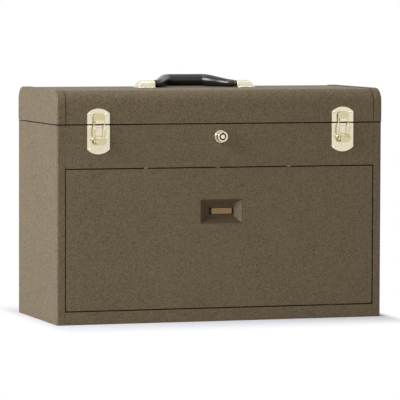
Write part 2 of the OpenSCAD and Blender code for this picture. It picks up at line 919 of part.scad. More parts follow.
// The lock bar: its three tabs hang in the gap over the front panel until it is locked
module lock_bar() {
    color(zinc) {
        slab(bar_x - tab_x - bar_over, bar_x + tab_x + bar_over, bar_y, bar_y + bar_t,
            bar_z, bar_z + bar_h);
        for (i = [-1, 0, 1]) slab(bar_x + i * tab_x - tab_w / 2, bar_x + i * tab_x + tab_w / 2,
            bar_y, bar_y + bar_t, tab_tip, bar_z + 1);
    }
}

// Straps on the back of the header that the lock bar slides in
module lock_bar_guides() {
    strap_back = bar_y + bar_t + loose;
    color(zinc) for (s = [-1, 1]) translate([bar_x + s * tab_x / 2, 0, 0]) {
        slab(-guide_w / 2, guide_w / 2, strap_back, strap_back + sheet, header_z + sheet + touch, bar_z + bar_h + 8);
        slab(-guide_w / 2, guide_w / 2, in_front + touch, strap_back + sheet, bar_z + bar_h + loose,
            bar_z + bar_h + loose + sheet);
        slab(-guide_w / 2, guide_w / 2, in_front + touch, in_front + touch + sheet,
            bar_z + bar_h + loose, bar_z + bar_h + 8);
    }
}

// The strike that hangs from the lid and takes the plunger
module lock_strike() {
    shelf = lid_z + 3;
    color(zinc) difference() {
        union() {
            slab(lock_x - strike_w / 2, lock_x + strike_w / 2, in_front + 0.8 + touch,
                in_front + 0.8 + touch + strike_t, shelf, shelf + 18);
            slab(lock_x - strike_w / 2, lock_x + strike_w / 2, in_front + 0.8 + touch,
                strike_y + strike_t, shelf, shelf + strike_t);
            slab(lock_x - strike_w / 2, lock_x + strike_w / 2, strike_y, strike_y + strike_t,
                lock_z - 15, shelf + strike_t);
        }
        pin_y(strike_y - 1, strike_y + strike_t + 1, lock_x, lock_z, plunger_r + 0.6);
    }
}

// ---- Handle ----

// Where the grip's centre line is, s from -1 to 1 along it, and how thick it is there
function grip_x(s) = s * grip_l / 2;
function grip_share(s) = min(1, (grip_l / 2 - abs(grip_x(s))) / grip_bend);
function grip_y(s) = grip_reach * (1 - cos(180 * grip_share(s))) / 2;
function grip_thick(s) = grip_end_r + (grip_r - grip_end_r) * (1 - cos(180 * min(1, 1.25 * grip_share(s)))) / 2;
function grip_slope(s) = abs(grip_x(s)) < grip_l / 2 - grip_bend ? 0
    : -sign(s) * grip_reach * 180 / grip_bend * sin(180 * grip_share(s)) / 2 * PI / 180;
grip_rings = 28;
grip_sides = 16;

// One ring of the grip, square to its centre line
function grip_ring(s) = let (a = atan(grip_slope(s)), r = grip_thick(s))
    [for (k = [0 : grip_sides - 1]) let (b = 360 * k / grip_sides)
        [grip_x(s) - r * cos(b) * sin(a), grip_y(s) + r * cos(b) * cos(a), r * sin(b)]];

module at_handle() {
    translate([handle_x, handle_y, 0]) children();
}

module handle_grip() {
    points = [for (i = [0 : grip_rings]) each grip_ring(-1 + 2 * i / grip_rings)];
    sides = [for (i = [0 : grip_rings - 1], k = [0 : grip_sides - 1])
        let (n = grip_sides, a = i * n, b = (i + 1) * n, k1 = (k + 1) % n)
            each [[a + k, b + k, b + k1], [a + k, b + k1, a + k1]]];
    ends = [[for (k = [0 : grip_sides - 1]) k],
        [for (k = [grip_sides - 1 : -1 : 0]) grip_rings * grip_sides + k]];
    color(black) at_handle() difference() {
        translate([0, 0, handle_z]) rotate([lie_a, 0, 0]) polyhedron(points, concat(sides, ends));
        both_sides() pin_x(grip_l / 2 - 8, grip_l / 2 + 1, 0, handle_z, handle_pin_r);
    }
}

module handle_pins() {
    color(zinc) at_handle() both_sides() {
        pin_x(grip_l / 2 - 7.9, bracket_x0 + 9, 0, handle_z, handle_pin_r - 0.01);
        pin_x(bracket_x0 + 6.2, bracket_x0 + 9, 0, handle_z, handle_pin_r + 1);
    }
}

// The arch of a bracket in (y, z), shrunk inward by g
module bracket_arch(g) {
    r = 7;
    w = bracket_w / 2 - g;
    h = bracket_h - g;
    intersection() {
        union() {
            translate([-w, 0]) square([2 * w, h - r]);
            translate([-w + r, 0]) square([2 * w - 2 * r, h]);
            for (y = [-w + r, w - r]) translate([y, h - r]) circle(r);
        }
        translate([-w, 0]) square([2 * w, h]);
    }
}

// The solid inside a bracket's skin, with its rounded outer end, shrunk inward by g
module bracket_body(g) {
    r = bracket_end_r - g;
    x1 = bracket_x1 - g;
    top = lid_top + bracket_h - g;
    intersection() {
        translate([0, 0, lid_top]) along_x(bracket_x0 + g, bracket_x1) bracket_arch(g);
        along_y(-bracket_w, bracket_w) {
            translate([bracket_x0, lid_top]) square([x1 - r - bracket_x0, top - lid_top]);
            translate([bracket_x0, lid_top]) square([x1 - bracket_x0, top - r - lid_top]);
            translate([x1 - r, top - r]) circle(r);
        }
    }
}

module handle_bracket() {
    difference() {
        union() {
            bracket_body(0);
            translate([0, 0, lid_top]) linear_extrude(bracket_t)
                round_square([bracket_x0, -base_w / 2], [bracket_x1 + 3, base_w / 2], 4);
        }
        bracket_body(bracket_t);
        pin_x(bracket_x0 - 1, bracket_x0 + bracket_t + 1, 0, handle_z, handle_pin_r + run);
    }
}

module handle_brackets() {
    color(nickel) at_handle() both_sides() handle_bracket();
}

// ---- Rivets ----

module face_rivet(x, z, y, r) {
    translate([x, y, z]) rotate([90, 0, 0]) rivet_head(r);
}

module back_rivet(x, z, y, r) {
    translate([x, y, z]) rotate([-90, 0, 0]) rivet_head(r);
}

hinge_rivets = 8;

module case_rivets() {
    z = hinge_z - knuckle_r - leaf_w / 2;
    color(nickel) {
        both_sides() both_sides_of_latch() face_rivet(latch_w / 2 - 5, latch_z0 + 8, latch_face, 1.8);
        for (i = [0 : hinge_rivets - 1])
            back_rivet(-hinge_x + (i + 0.5) * 2 * hinge_x / hinge_rivets, z, in_back + leaf, 2.2);
    }
}

module lid_rivets() {
    z = hinge_z + knuckle_r + leaf_w / 2;
    color(nickel) {
        both_sides() both_sides_of_latch() face_rivet(latch_w / 2 - 4.5, keeper_z1 - 8.2, latch_face, 1.8);
        for (i = [0 : hinge_rivets - 1])
            back_rivet(-hinge_x + (i + 0.5) * 2 * hinge_x / hinge_rivets, z, back_y + leaf, 2.2);
        at_handle() both_sides() for (x = [bracket_x0 + 5, bracket_x1 - 5], y = [-1, 1])
            translate([x, y * (base_w / 2 - 3), lid_top + bracket_t]) rivet_head(1.9);
    }
}

left_end();
right_end();
back_panel();
bottom_pan();
front_header();
till_floor();
till_felt();
mid_shelf();
storage_shelf();
drawer_partitions();
drawer_runners();
case_rivets();
hinge_case_leaf();
hinge_pin();
stay_pivots();
latch_plates();
latch_pivots();
lock_housing();
lock_nut();
lock_bar_guides();
lock_plunger();
lock_core();
lock_bar();
lid_shell();
lid_left_end();
lid_right_end();
hinge_lid_leaf();
latch_keepers();
lid_rivets();
stay_studs();
lock_strike();
handle_brackets();
handle_grip();
handle_pins();
stay_left();
stay_right();
latch_lever_left();
latch_lever_right();
latch_link_left();
latch_link_right();
front_panel();
finger_cup();
pull_plate();
drawer_bottom();
drawer_lower();
drawer_centre();
drawer_left_low();
drawer_left_high();
drawer_right_low();
drawer_right_high();
knobs_bottom();
knobs_lower();
knob_centre();
knob_left_low();
knob_left_high();
knob_right_low();
knob_right_high();
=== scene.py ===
"""A portable tool box with drawers: the finished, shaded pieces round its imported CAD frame."""

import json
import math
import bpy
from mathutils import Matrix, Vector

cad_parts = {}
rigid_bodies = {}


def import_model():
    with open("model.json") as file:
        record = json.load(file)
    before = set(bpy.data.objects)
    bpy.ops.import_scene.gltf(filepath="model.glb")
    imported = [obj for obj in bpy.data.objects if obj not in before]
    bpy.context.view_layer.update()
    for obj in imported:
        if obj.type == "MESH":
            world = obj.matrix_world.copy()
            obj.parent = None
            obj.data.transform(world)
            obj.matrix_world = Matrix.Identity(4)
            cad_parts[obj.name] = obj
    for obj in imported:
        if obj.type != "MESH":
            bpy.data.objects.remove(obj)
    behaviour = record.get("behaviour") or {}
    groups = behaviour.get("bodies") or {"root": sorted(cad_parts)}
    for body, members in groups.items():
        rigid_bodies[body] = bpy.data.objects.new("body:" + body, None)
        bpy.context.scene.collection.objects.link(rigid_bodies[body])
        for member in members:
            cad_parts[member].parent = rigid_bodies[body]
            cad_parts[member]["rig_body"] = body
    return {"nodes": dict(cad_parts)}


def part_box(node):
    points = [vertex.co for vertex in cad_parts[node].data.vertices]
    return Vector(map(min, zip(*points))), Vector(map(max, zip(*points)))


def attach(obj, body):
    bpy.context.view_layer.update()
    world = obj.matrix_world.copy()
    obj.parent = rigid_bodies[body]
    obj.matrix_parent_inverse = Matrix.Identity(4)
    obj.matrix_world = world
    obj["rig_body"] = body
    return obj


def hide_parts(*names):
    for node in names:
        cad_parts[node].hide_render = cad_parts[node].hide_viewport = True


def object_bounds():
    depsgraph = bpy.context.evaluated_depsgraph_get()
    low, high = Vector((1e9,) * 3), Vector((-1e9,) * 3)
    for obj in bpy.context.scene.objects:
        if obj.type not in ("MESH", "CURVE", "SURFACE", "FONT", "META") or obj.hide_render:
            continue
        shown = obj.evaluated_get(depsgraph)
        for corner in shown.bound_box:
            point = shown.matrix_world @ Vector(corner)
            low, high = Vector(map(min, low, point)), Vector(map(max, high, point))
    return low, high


bl_info = {
    "name": "Portable tool box with drawers",
    "version": (1, 0, 0),
    "blender": (4, 5, 0),
    "location": "3D View > Sidebar > Tool box",
    "description": "Finishes a wrinkle-enamelled machinist's tool box round its CAD frame",
    "category": "Add Mesh",
}

import bmesh
import bpy
from bpy.props import FloatProperty, FloatVectorProperty, IntProperty, PointerProperty
from mathutils import Matrix, Vector
from mathutils.bvhtree import BVHTree

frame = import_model()
CAD_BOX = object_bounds()

MM = 0.001

# The photograph's camera, fitted to the case's corners: millimetres and degrees, for a 400 px frame
CAMERA_AT = Vector((-1566.61, -4728.36, 486.10)) * MM
CAMERA_YAW = math.radians(18.3506)
CAMERA_PITCH = math.radians(3.5747)
CAMERA_ROLL = math.radians(0.1808)
FOCAL_PIXELS = 3269.36
FRAME_PIXELS = 400
SENSOR = 36.0

# How round the edges of each group of CAD nodes are, in millimetres
SHEET_EDGES = {
    "left_end": 0.3, "right_end": 0.3, "back_panel": 0.3, "bottom_pan": 0.3, "front_header": 0.3,
    "till_floor": 0.3, "lid_left_end": 0.25, "lid_right_end": 0.25,
    "front_panel": 0.45, "lock_strike": 0.25,
    "drawer_bottom": 0.3, "drawer_lower": 0.3, "drawer_centre": 0.3,
    "drawer_left_low": 0.3, "drawer_left_high": 0.3, "drawer_right_low": 0.3, "drawer_right_high": 0.3,
}
ZINC_EDGES = {
    "mid_shelf": 0.2, "storage_shelf": 0.2, "drawer_partitions": 0.2, "drawer_runners": 0.2,
    "hinge_case_leaf": 0.2, "hinge_lid_leaf": 0.2, "hinge_pin": 0.2, "stay_pivots": 0.2,
    "stay_studs": 0.2, "stay_left": 0.25, "stay_right": 0.25, "lock_nut": 0.25, "lock_bar": 0.25,
    "lock_bar_guides": 0.2, "handle_pins": 0.2,
}
LATCH_EDGES = {"latch_plates": 0.35, "latch_pivots": 0.35, "latch_keepers": 0.4}
LATCH_MOVING_EDGE = 0.3
LATCH_LEVERS = {"latch_lever_left": "latch_link_left", "latch_lever_right": "latch_link_right"}
LOCK_EDGES = {"lock_housing": 0.45, "lock_plunger": 0.5, "lock_core": 0.25}
BRACKET_EDGES = {"handle_brackets": 0.5}
LID_EDGE = 0.3
RECESS_EDGE = 0.45
PLATE_EDGE = 0.25

# Edges sharper than the first angle are rounded, and those sharper than the second still look sharp
ROUNDED_FROM = math.radians(28)
SHARP_FROM = math.radians(50)
# A bevel's point further than this many widths from the CAD's skin is a fault
THROWN_OUT = 1.3
# CAD points nearer than this are one point, and faces within this angle are one face
WELD = 0.002 * MM
FLAT = math.radians(0.3)

RIVET_NODES = {"case_rivets": "case", "lid_rivets": "lid"}
KNOB_NODES = {
    "knobs_bottom": "drawer_bottom", "knobs_lower": "drawer_lower", "knob_centre": "drawer_centre",
    "knob_left_low": "drawer_left_low", "knob_left_high": "drawer_left_high",
    "knob_right_low": "drawer_right_low", "knob_right_high": "drawer_right_high",
}
DRAWERS = tuple(KNOB_NODES.values())

# The lamps' places and widths in metres
KEY_LAMP = ((-2.6, -0.64, 1.5), 1.6)
TOP_LAMP = ((-0.3, -0.2, 2.6), 1.8)
FILL_LAMP = ((-0.6, -3.2, 1.3), 1.8)
# A slightly cool tint brings the left end to its colour in the photograph
KEY_TINT = (0.96, 1.0, 1.12)
WHITE = (1, 1, 1, 1)
PAPER = (0.96, 0.96, 0.96, 1)
FLOOR_REACH = 6.0
FLOOR_DROP = 0.2 * MM
# A spot past an end counts as this many times further off than one past the front or the back
SHADOW_STRETCH = (5, 1, 0)

# A colour Mix node's inputs go by number, because their names repeat
FACTOR, FIRST, SECOND = 0, 6, 7


def linear(hex_colour):
    """An sRGB hex colour as linear red, green, blue."""
    parts = [int(hex_colour[i:i + 2], 16) / 255 for i in (1, 3, 5)]
    return tuple(c / 12.92 if c <= 0.04045 else ((c + 0.055) / 1.055) ** 2.4 for c in parts)


def paint_property(name, description, hex_colour):
    """A colour that a user can change, from an sRGB hex value."""
    return FloatVectorProperty(
        name=name, description=description, subtype="COLOR", min=0, max=1, default=linear(hex_colour))


def length_property(name, description, least, most, usual):
    """A length in metres, from its limits and its default in millimetres."""
    return FloatProperty(
        name=name, description=description, min=least * MM, max=most * MM, default=usual * MM,
        unit="LENGTH")


def power_property(name, description, watts):
    """A lamp's power in watts."""
    return FloatProperty(name=name, description=description, min=0, default=watts, unit="POWER")


class ToolboxFinish(bpy.types.PropertyGroup):
    """The colours and surface sizes that a user would change."""

    enamel: paint_property("Enamel", "Baked wrinkle enamel on the steel sheet", "#7E6D4F")
    enamel_dark: paint_property("Enamel valleys", "The enamel between the wrinkles", "#54462E")
    wrinkle: length_property("Wrinkle", "Distance between the enamel's wrinkles", 0.5, 10, 2)
    nickel: paint_property("Nickel", "Warm nickel plate on the latches, lock and brackets", "#E6DEC6")
    zinc: paint_property("Zinc", "Zinc plate on the inner steel", "#B9B9B6")
    brass: paint_property("Brass", "Satin brass plate in the finger recess", "#8E7756")
    moulding: paint_property("Moulding", "Glossy black phenolic grip", "#17130F")
    felt: paint_property("Felt", "Brown wool felt in the till and drawers", "#5B4632")


class ToolboxSizes(bpy.types.PropertyGroup):
    """The sizes of the finished pieces."""

    tongue_flare: length_property(
        "Tongue flare", "How far the end of a latch's finger tongue stands out", 0, 2, 1.2)
    tongue_crown: length_property("Tongue crown", "How much a latch's finger tongue is crowned", 0, 1, 0.5)
    felt_thickness: length_property("Felt thickness", "Thickness of the felt linings", 0.5, 3, 1)
    felt_margin: length_property("Felt margin", "Room between a felt and the drawer's walls", 0.3, 4, 1.2)
    rivet_rise: FloatProperty(
        name="Rivet rise", description="Height of a rivet's head as a share of its radius",
        min=0.2, max=1.0, default=0.6)
    grip_radius: length_property("Grip radius", "Radius of the grip in the middle", 6, 12, 9.3)
    grip_end_radius: length_property("Grip end radius", "Radius of the grip at its ends", 3, 8, 5.2)
    grip_reach: length_property(
        "Grip reach", "Distance of the grip's middle from its pivot line", 34, 54, 46)
    grip_bend: length_property("Grip bend", "Length over which each end of the grip rises", 20, 60, 40)
    grip_shoulder: length_property(
        "Grip shoulder", "Length over which each end of the grip swells", 10, 60, 30)
    round_steps: IntProperty(
        name="Round steps", description="Segments round the turned pieces",
        min=12, max=96, default=40)


class ToolboxStage(bpy.types.PropertyGroup):
    """The lamps and the floor."""

    key_power: power_property("Key lamp", "Power of the large lamp on the left", 90)
    top_power: power_property("Top lamp", "Power of the lamp overhead", 18)
    fill_power: power_property("Fill lamp", "Power of the lamp at the front", 0.5)
    sky: FloatProperty(name="Surround", description="Light from the white surround", min=0, default=0.15)
    shadow_reach: FloatProperty(
        name="Shadow reach", description="How far from the box the floor keeps its own shading",
        min=0.02, default=0.13, unit="LENGTH")


# ---- Helpers ----


def fill_inputs(tree, node, inputs):
    """Sets inputs by name or number: a value is set, a socket is linked, a node by its first output."""
    for name, value in inputs.items():
        if isinstance(value, bpy.types.Node):
            value = next(socket for socket in value.outputs if socket.enabled)
        if isinstance(value, bpy.types.NodeSocket):
            tree.links.new(value, node.inputs[name])
        else:
            node.inputs[name].default_value = value


def add_node(tree, kind, inputs=None, **settings):
    """A node with its settings and its inputs."""
    node = tree.nodes.new(kind)
    for name, value in settings.items():
        setattr(node, name, value)
    fill_inputs(tree, node, inputs or {})
    return node


def empty_tree(owner):
    """The node tree of a material or a world, with nothing in it."""
    owner.use_nodes = True
    owner.node_tree.nodes.clear()
    return owner.node_tree


def new_material(name):
    """A material with only a Principled shader on its output, and the place on the object."""
    material = bpy.data.materials.new(name)
    tree = empty_tree(material)
    shader = add_node(tree, "ShaderNodeBsdfPrincipled")
    add_node(tree, "ShaderNodeOutputMaterial", {"Surface": shader})
    place = add_node(tree, "ShaderNodeTexCoord").outputs["Object"]
    return material, tree, shader, place


def colour(rgb):
    """A linear colour with full alpha."""
    return (*rgb, 1.0)


def paint(hex_colour):
    """An sRGB hex colour as a linear one with full alpha."""
    return colour(linear(hex_colour))


def put_in_scene(name, data):
    """A new object of some data, linked to the scene."""
    thing = bpy.data.objects.new(name, data)
    bpy.context.scene.collection.objects.link(thing)
    return thing


def piece_from_mesh(name, mesh, body, nodes=()):
    """Puts a mesh in the scene as a finished piece that rides on a body and stands for its nodes."""
    piece = put_in_scene(name, mesh)
    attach(piece, body)
    if nodes:
        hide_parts(*nodes)
    return piece


def piece_from_bmesh(name, bm, material, body):
    """Puts a bmesh in the scene as a finished piece that rides on a body."""
    mesh = bpy.data.meshes.new(name)
    bm.to_mesh(mesh)
    bm.free()
    # A copied CAD mesh brings corner normals that don't fit its new faces
    if "custom_normal" in mesh.attributes:
        mesh.attributes.remove(mesh.attributes["custom_normal"])
    mesh.materials.append(material)
    return piece_from_mesh(name, mesh, body)


def bridge_rings(bm, rings):
    """Skins a closed body over rings of points."""
    count = len(rings[0])
    for a, b in zip(rings, rings[1:]):
        for k in range(count):
            n = (k + 1) % count
            bm.faces.new((a[k], a[n], b[n], b[k]))
    bm.faces.new(rings[0])
    bm.faces.new(rings[-1])


def welded_copy(node):
    """A bmesh copy of a CAD node with its loose triangles joined."""
    bm = bmesh.new()
    bm.from_mesh(frame["nodes"][node].data)
    bmesh.ops.remove_doubles(bm, verts=bm.verts, dist=WELD)
    return bm


def merged_copy(node):
    """A bmesh copy of a CAD node whose flat faces are one face each."""
    bm = welded_copy(node)
    bmesh.ops.dissolve_limit(
        bm, angle_limit=FLAT, verts=bm.verts, edges=bm.edges, use_dissolve_boundaries=False)
    # A face round a hole has to be convex pieces before its edges are rounded
    bmesh.ops.connect_verts_concave(bm, faces=bm.faces)
    return bm


def islands(node):
    """The separate solids of a CAD node, each as its lowest and highest corner."""
    bm = welded_copy(node)
    left = set(bm.verts)
    found = []
    while left:
        stack, group = [left.pop()], []
        while stack:
            vert = stack.pop()
            group.append(vert.co.copy())
            for edge in vert.link_edges:
                other = edge.other_vert(vert)
                if other in left:
                    left.remove(other)
                    stack.append(other)
        low = Vector([min(co[i] for co in group) for i in range(3)])
        high = Vector([max(co[i] for co in group) for i in range(3)])
        found.append((low, high))
    bm.free()
    return sorted(found, key=lambda box: tuple(box[0]))


def on_recess_seam(edge):
    """Whether an edge lies where the finger recess meets the panel, which are one pressing to the eye."""
    low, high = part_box("finger_cup")
    at = (edge.verts[0].co + edge.verts[1].co) / 2
    near = 0.3 * MM
    if not (low.x - near < at.x < high.x + near and low.z - near < at.z < high.z + near):
        return False
    return min(at.x - low.x, high.x - at.x, at.z - low.z, high.z - at.z) < near


def softened(node, width, material):
    """A copy of a CAD node whose sharp edges are rounded by a width in millimetres, in its place."""
    bm = merged_copy(node)
    sharp = [e for e in bm.edges if e.is_manifold and e.calc_face_angle() > ROUNDED_FROM]
    if node in ("front_panel", "finger_cup"):
        sharp = [e for e in sharp if not on_recess_seam(e)]
    skin = BVHTree.FromBMesh(bm)
    bmesh.ops.bevel(
        bm, geom=sharp, offset=width * MM, offset_type="OFFSET", segments=2, profile=0.5,
        affect="EDGES", clamp_overlap=False, harden_normals=False)
    # Where edges meet almost in line the bevel throws a point out: it goes back to the skin
    for vert in bm.verts:
        spot, _, _, off = skin.find_nearest(vert.co)
        if off > THROWN_OUT * width * MM:
            vert.co = spot
    for face in bm.faces:
        face.smooth = True
    for edge in bm.edges:
        edge.smooth = not (edge.is_manifold and edge.calc_face_angle() > SHARP_FROM)
    bmesh.ops.triangulate(bm, faces=[f for f in bm.faces if len(f.verts) > 4])
    body = frame["nodes"][node]["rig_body"]
    piece = piece_from_bmesh(node + "_finished", bm, material, body)
    modifier = piece.modifiers.new("Flat faces stay flat", "WEIGHTED_NORMAL")
    modifier.keep_sharp = True
    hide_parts(node)
    return piece


def finish_nodes(edges, material):
    """Rounds each of a table's nodes by its own width, all in one material."""
    for node, width in edges.items():
        softened(node, width, material)


def node_group(name, sockets):
    """A Geometry Nodes tree, the identifiers of its named inputs, and the node that gives them."""
    tree = bpy.data.node_groups.new(name, "GeometryNodeTree")
    tree.interface.new_socket("Geometry", in_out="INPUT", socket_type="NodeSocketGeometry")
    keys = {}
    for label, kind in sockets.items():
        socket = tree.interface.new_socket(label, in_out="INPUT", socket_type=kind)
        keys[label] = socket.identifier
    tree.interface.new_socket("Geometry", in_out="OUTPUT", socket_type="NodeSocketGeometry")
    return tree, keys, add_node(tree, "NodeGroupInput")


def run_tree(name, tree, keys, values, source):
    """Runs a tree on a source mesh with its inputs set, and returns the plain mesh."""
    carrier = put_in_scene(name + "_carrier", source)
    modifier = carrier.modifiers.new(name, "NODES")
    modifier.node_group = tree
    for label, value in values.items():
        modifier[keys[label]] = value
    graph = bpy.context.evaluated_depsgraph_get()
    mesh = bpy.data.meshes.new_from_object(carrier.evaluated_get(graph), depsgraph=graph)
    mesh.name = name
    bpy.data.objects.remove(carrier)
    return mesh


# ---- Materials ----


def follow_pattern(tree, shader, pattern, colours, rough=None, relief=None, relief_of=None, **others):
    """Gives a shader the two colours, the range of roughness and the relief that follow one pattern.

    The relief is a strength and a height, and can follow a pattern of its own. The others are inputs
    of the shader as they are.
    """
    inputs = {"Base Color": add_node(tree, "ShaderNodeMix", {
        FACTOR: pattern, FIRST: colours[0], SECOND: colours[1]}, data_type="RGBA")}
    if rough:
        inputs["Roughness"] = add_node(tree, "ShaderNodeMapRange", {
            "Value": pattern, "To Min": rough[0], "To Max": rough[1]})
    if relief:
        inputs["Normal"] = add_node(tree, "ShaderNodeBump", {
            "Height": relief_of or pattern, "Strength": relief[0], "Distance": relief[1]})
    fill_inputs(tree, shader, {**inputs, **others})


def distance_from(tree, value, middle):
    """How far a value is from a middle, either way."""
    gap = add_node(tree, "ShaderNodeMath", {0: value, 1: middle}, operation="SUBTRACT")
    return add_node(tree, "ShaderNodeMath", {0: gap}, operation="ABSOLUTE")


def wrinkle_enamel(seam=None):
    """Baked wrinkle enamel on mild steel sheet: a dull sheen broken up by fine raised worms.

    The lid's enamel has a dark line painted at a distance from its middle: painted shade in the seam beside
    each end cap. The photograph doesn't tell dirt from shade there.
    """
    finish = bpy.context.scene.toolbox_finish
    name = "wrinkle_enamel_with_dusty_seam" if seam else "wrinkle_enamel_on_steel"
    material, tree, shader, place = new_material(name)
    # The real wrinkles are about 1 mm apart: they are drawn coarser, so that they show
    worms = add_node(tree, "ShaderNodeTexNoise", {
        "Vector": place, "Scale": 1 / finish.wrinkle, "Detail": 2.5, "Roughness": 0.55, "Distortion": 0.6})
    # A worm's crest lies where the noise crosses its middle
    ridges = add_node(tree, "ShaderNodeMapRange", {
        "Value": distance_from(tree, worms, 0.5), "From Max": 0.11, "To Min": 1.0, "To Max": 0.0},
        interpolation_type="SMOOTHSTEP")
    # Broad, weak blotches from the oven and from handling, some 60 mm across
    blotches = add_node(tree, "ShaderNodeTexNoise", {
        "Vector": place, "Scale": 1 / (60 * MM), "Detail": 2.0, "Roughness": 0.5})
    shade = add_node(tree, "ShaderNodeMix", {
        FACTOR: ridges, FIRST: colour(finish.enamel_dark), SECOND: colour(finish.enamel)},
        data_type="RGBA")
    tone = add_node(tree, "ShaderNodeMapRange", {
        "Value": blotches, "From Min": 0.3, "From Max": 0.7, "To Min": 0.96, "To Max": 1.04})
    base = add_node(tree, "ShaderNodeHueSaturation", {"Color": shade, "Value": tone})
    if seam:
        split = add_node(tree, "ShaderNodeSeparateXYZ", {"Vector": place})
        aside = add_node(tree, "ShaderNodeMath", {0: split.outputs["X"]}, operation="ABSOLUTE")
        # The painted shade line is fully dark over its middle millimetre
        dust = add_node(tree, "ShaderNodeMapRange", {
            "Value": distance_from(tree, aside, seam), "From Min": 0.5 * MM, "From Max": 0.9 * MM,
            "To Min": 1.0, "To Max": 0.0})
        base = add_node(tree, "ShaderNodeMix", {
            FACTOR: dust, FIRST: base, SECOND: paint("#1D160D")}, data_type="RGBA")
    rough = add_node(tree, "ShaderNodeMapRange", {"Value": ridges, "To Min": 0.66, "To Max": 0.5})
    bump = add_node(tree, "ShaderNodeBump", {"Height": ridges, "Strength": 0.6, "Distance": 0.16 * MM})
    fill_inputs(tree, shader, {"Base Color": base, "Roughness": rough, "Normal": bump, "IOR": 1.45})
    return material


def handled_enamel():
    """The enamel of the finger recess in painted shade: the same paint, darker, and unevenly mottled."""
    material, tree, shader, place = new_material("handled_enamel")
    grime = add_node(tree, "ShaderNodeTexNoise", {
        "Vector": place, "Scale": 1 / bpy.context.scene.toolbox_finish.wrinkle, "Detail": 2.5,
        "Distortion": 0.6})
    spots = add_node(tree, "ShaderNodeMapRange", {"Value": grime, "From Min": 0.35, "From Max": 0.65})
    follow_pattern(
        tree, shader, spots, (paint("#4A3D28"), paint("#605139")), relief=(0.5, 0.2 * MM), relief_of=grime,
        Roughness=0.75, IOR=1.36)
    return material


def bright_nickel(name="bright_nickel_plate", plate=None, dull=0.0):
    """Polished and nickel plated steel: warm and mirror-like, with a slight orange peel."""
    material, tree, shader, place = new_material(name)
    haze = add_node(tree, "ShaderNodeTexNoise", {
        "Vector": place, "Scale": 1 / (16 * MM), "Detail": 3.0, "Roughness": 0.5})
    rough = add_node(tree, "ShaderNodeMapRange", {
        "Value": haze, "From Min": 0.3, "From Max": 0.7, "To Min": 0.14 + dull, "To Max": 0.24 + dull})
    peel = add_node(tree, "ShaderNodeTexNoise", {"Vector": place, "Scale": 1 / (1.5 * MM), "Detail": 2.0})
    # A yellow tarnish starts in the hazy places
    spots = add_node(tree, "ShaderNodeMapRange", {
        "Value": haze, "From Min": 0.4, "From Max": 0.8, "To Min": 0.0, "To Max": 0.4})
    nickel = colour(plate or bpy.context.scene.toolbox_finish.nickel)
    follow_pattern(
        tree, shader, spots, (nickel, paint("#D2C39A")), relief=(0.12, 0.05 * MM), relief_of=peel,
        Roughness=rough, Metallic=1.0)
    return material


def zinc_plate():
    """Zinc plated steel sheet: grey and cloudy, with a fine crystal mottle."""
    material, tree, shader, place = new_material("zinc_plated_steel")
    crystals = add_node(tree, "ShaderNodeTexVoronoi", {
        "Vector": place, "Scale": 1 / (5 * MM)}, feature="F1")
    clouds = add_node(tree, "ShaderNodeTexNoise", {"Vector": place, "Scale": 1 / (18 * MM), "Detail": 4.0})
    blend = add_node(tree, "ShaderNodeMath", {
        0: crystals.outputs["Color"], 1: clouds}, operation="MULTIPLY")
    zinc = colour(bpy.context.scene.toolbox_finish.zinc)
    follow_pattern(tree, shader, blend, (zinc, paint("#8B8C8A")), rough=(0.34, 0.52), Metallic=1.0)
    return material


def oiled_steel():
    """Dark steel as painted shade, in the keyway and behind the plate: brown-black with a slight gloss."""
    material, tree, shader, place = new_material("oiled_steel")
    film = add_node(tree, "ShaderNodeTexNoise", {"Vector": place, "Scale": 1 / (2 * MM), "Detail": 2.0})
    follow_pattern(
        tree, shader, film, (paint("#1E1912"), paint("#3A3023")), rough=(0.35, 0.6), Metallic=1.0)
    return material


def satin_brass():
    """Brushed brass sheet: fine straight scratches along its length and a soft gloss."""
    material, tree, shader, place = new_material("satin_brass")
    # Scratches 0.4 mm apart, stretched 30 times along X
    along = add_node(tree, "ShaderNodeMapping", {"Vector": place, "Scale": (1 / 30, 1.0, 1.0)})
    scratches = add_node(tree, "ShaderNodeTexNoise", {
        "Vector": along, "Scale": 1 / (0.4 * MM), "Detail": 3.0, "Roughness": 0.7})
    brass = colour(bpy.context.scene.toolbox_finish.brass)
    follow_pattern(
        tree, shader, scratches, (brass, paint("#7C6445")), relief=(0.2, 0.03 * MM),
        Metallic=1.0, Roughness=0.42)
    return material


def black_moulding():
    """Moulded phenolic plastic: deep black and glossy, with faint flow marks."""
    material, tree, shader, place = new_material("glossy_black_phenolic")
    flow = add_node(tree, "ShaderNodeTexNoise", {
        "Vector": place, "Scale": 1 / (14 * MM), "Detail": 2.0, "Distortion": 1.0})
    black = colour(bpy.context.scene.toolbox_finish.moulding)
    follow_pattern(
        tree, shader, flow, (black, paint("#261D17")), rough=(0.12, 0.24), relief=(0.08, 0.2 * MM), IOR=1.5)
    return material


def matte_rubber():
    """Matte black for the strips that stand in for shade in the lid's gap: no shine at all, greyed at random
    in places.
    """
    material, tree, shader, place = new_material("matte_black_rubber")
    dust = add_node(tree, "ShaderNodeTexNoise", {"Vector": place, "Scale": 1 / (12 * MM), "Detail": 3.0})
    follow_pattern(tree, shader, dust, (paint("#120D08"), paint("#241D14")), Roughness=0.92, IOR=1.3)
    return material


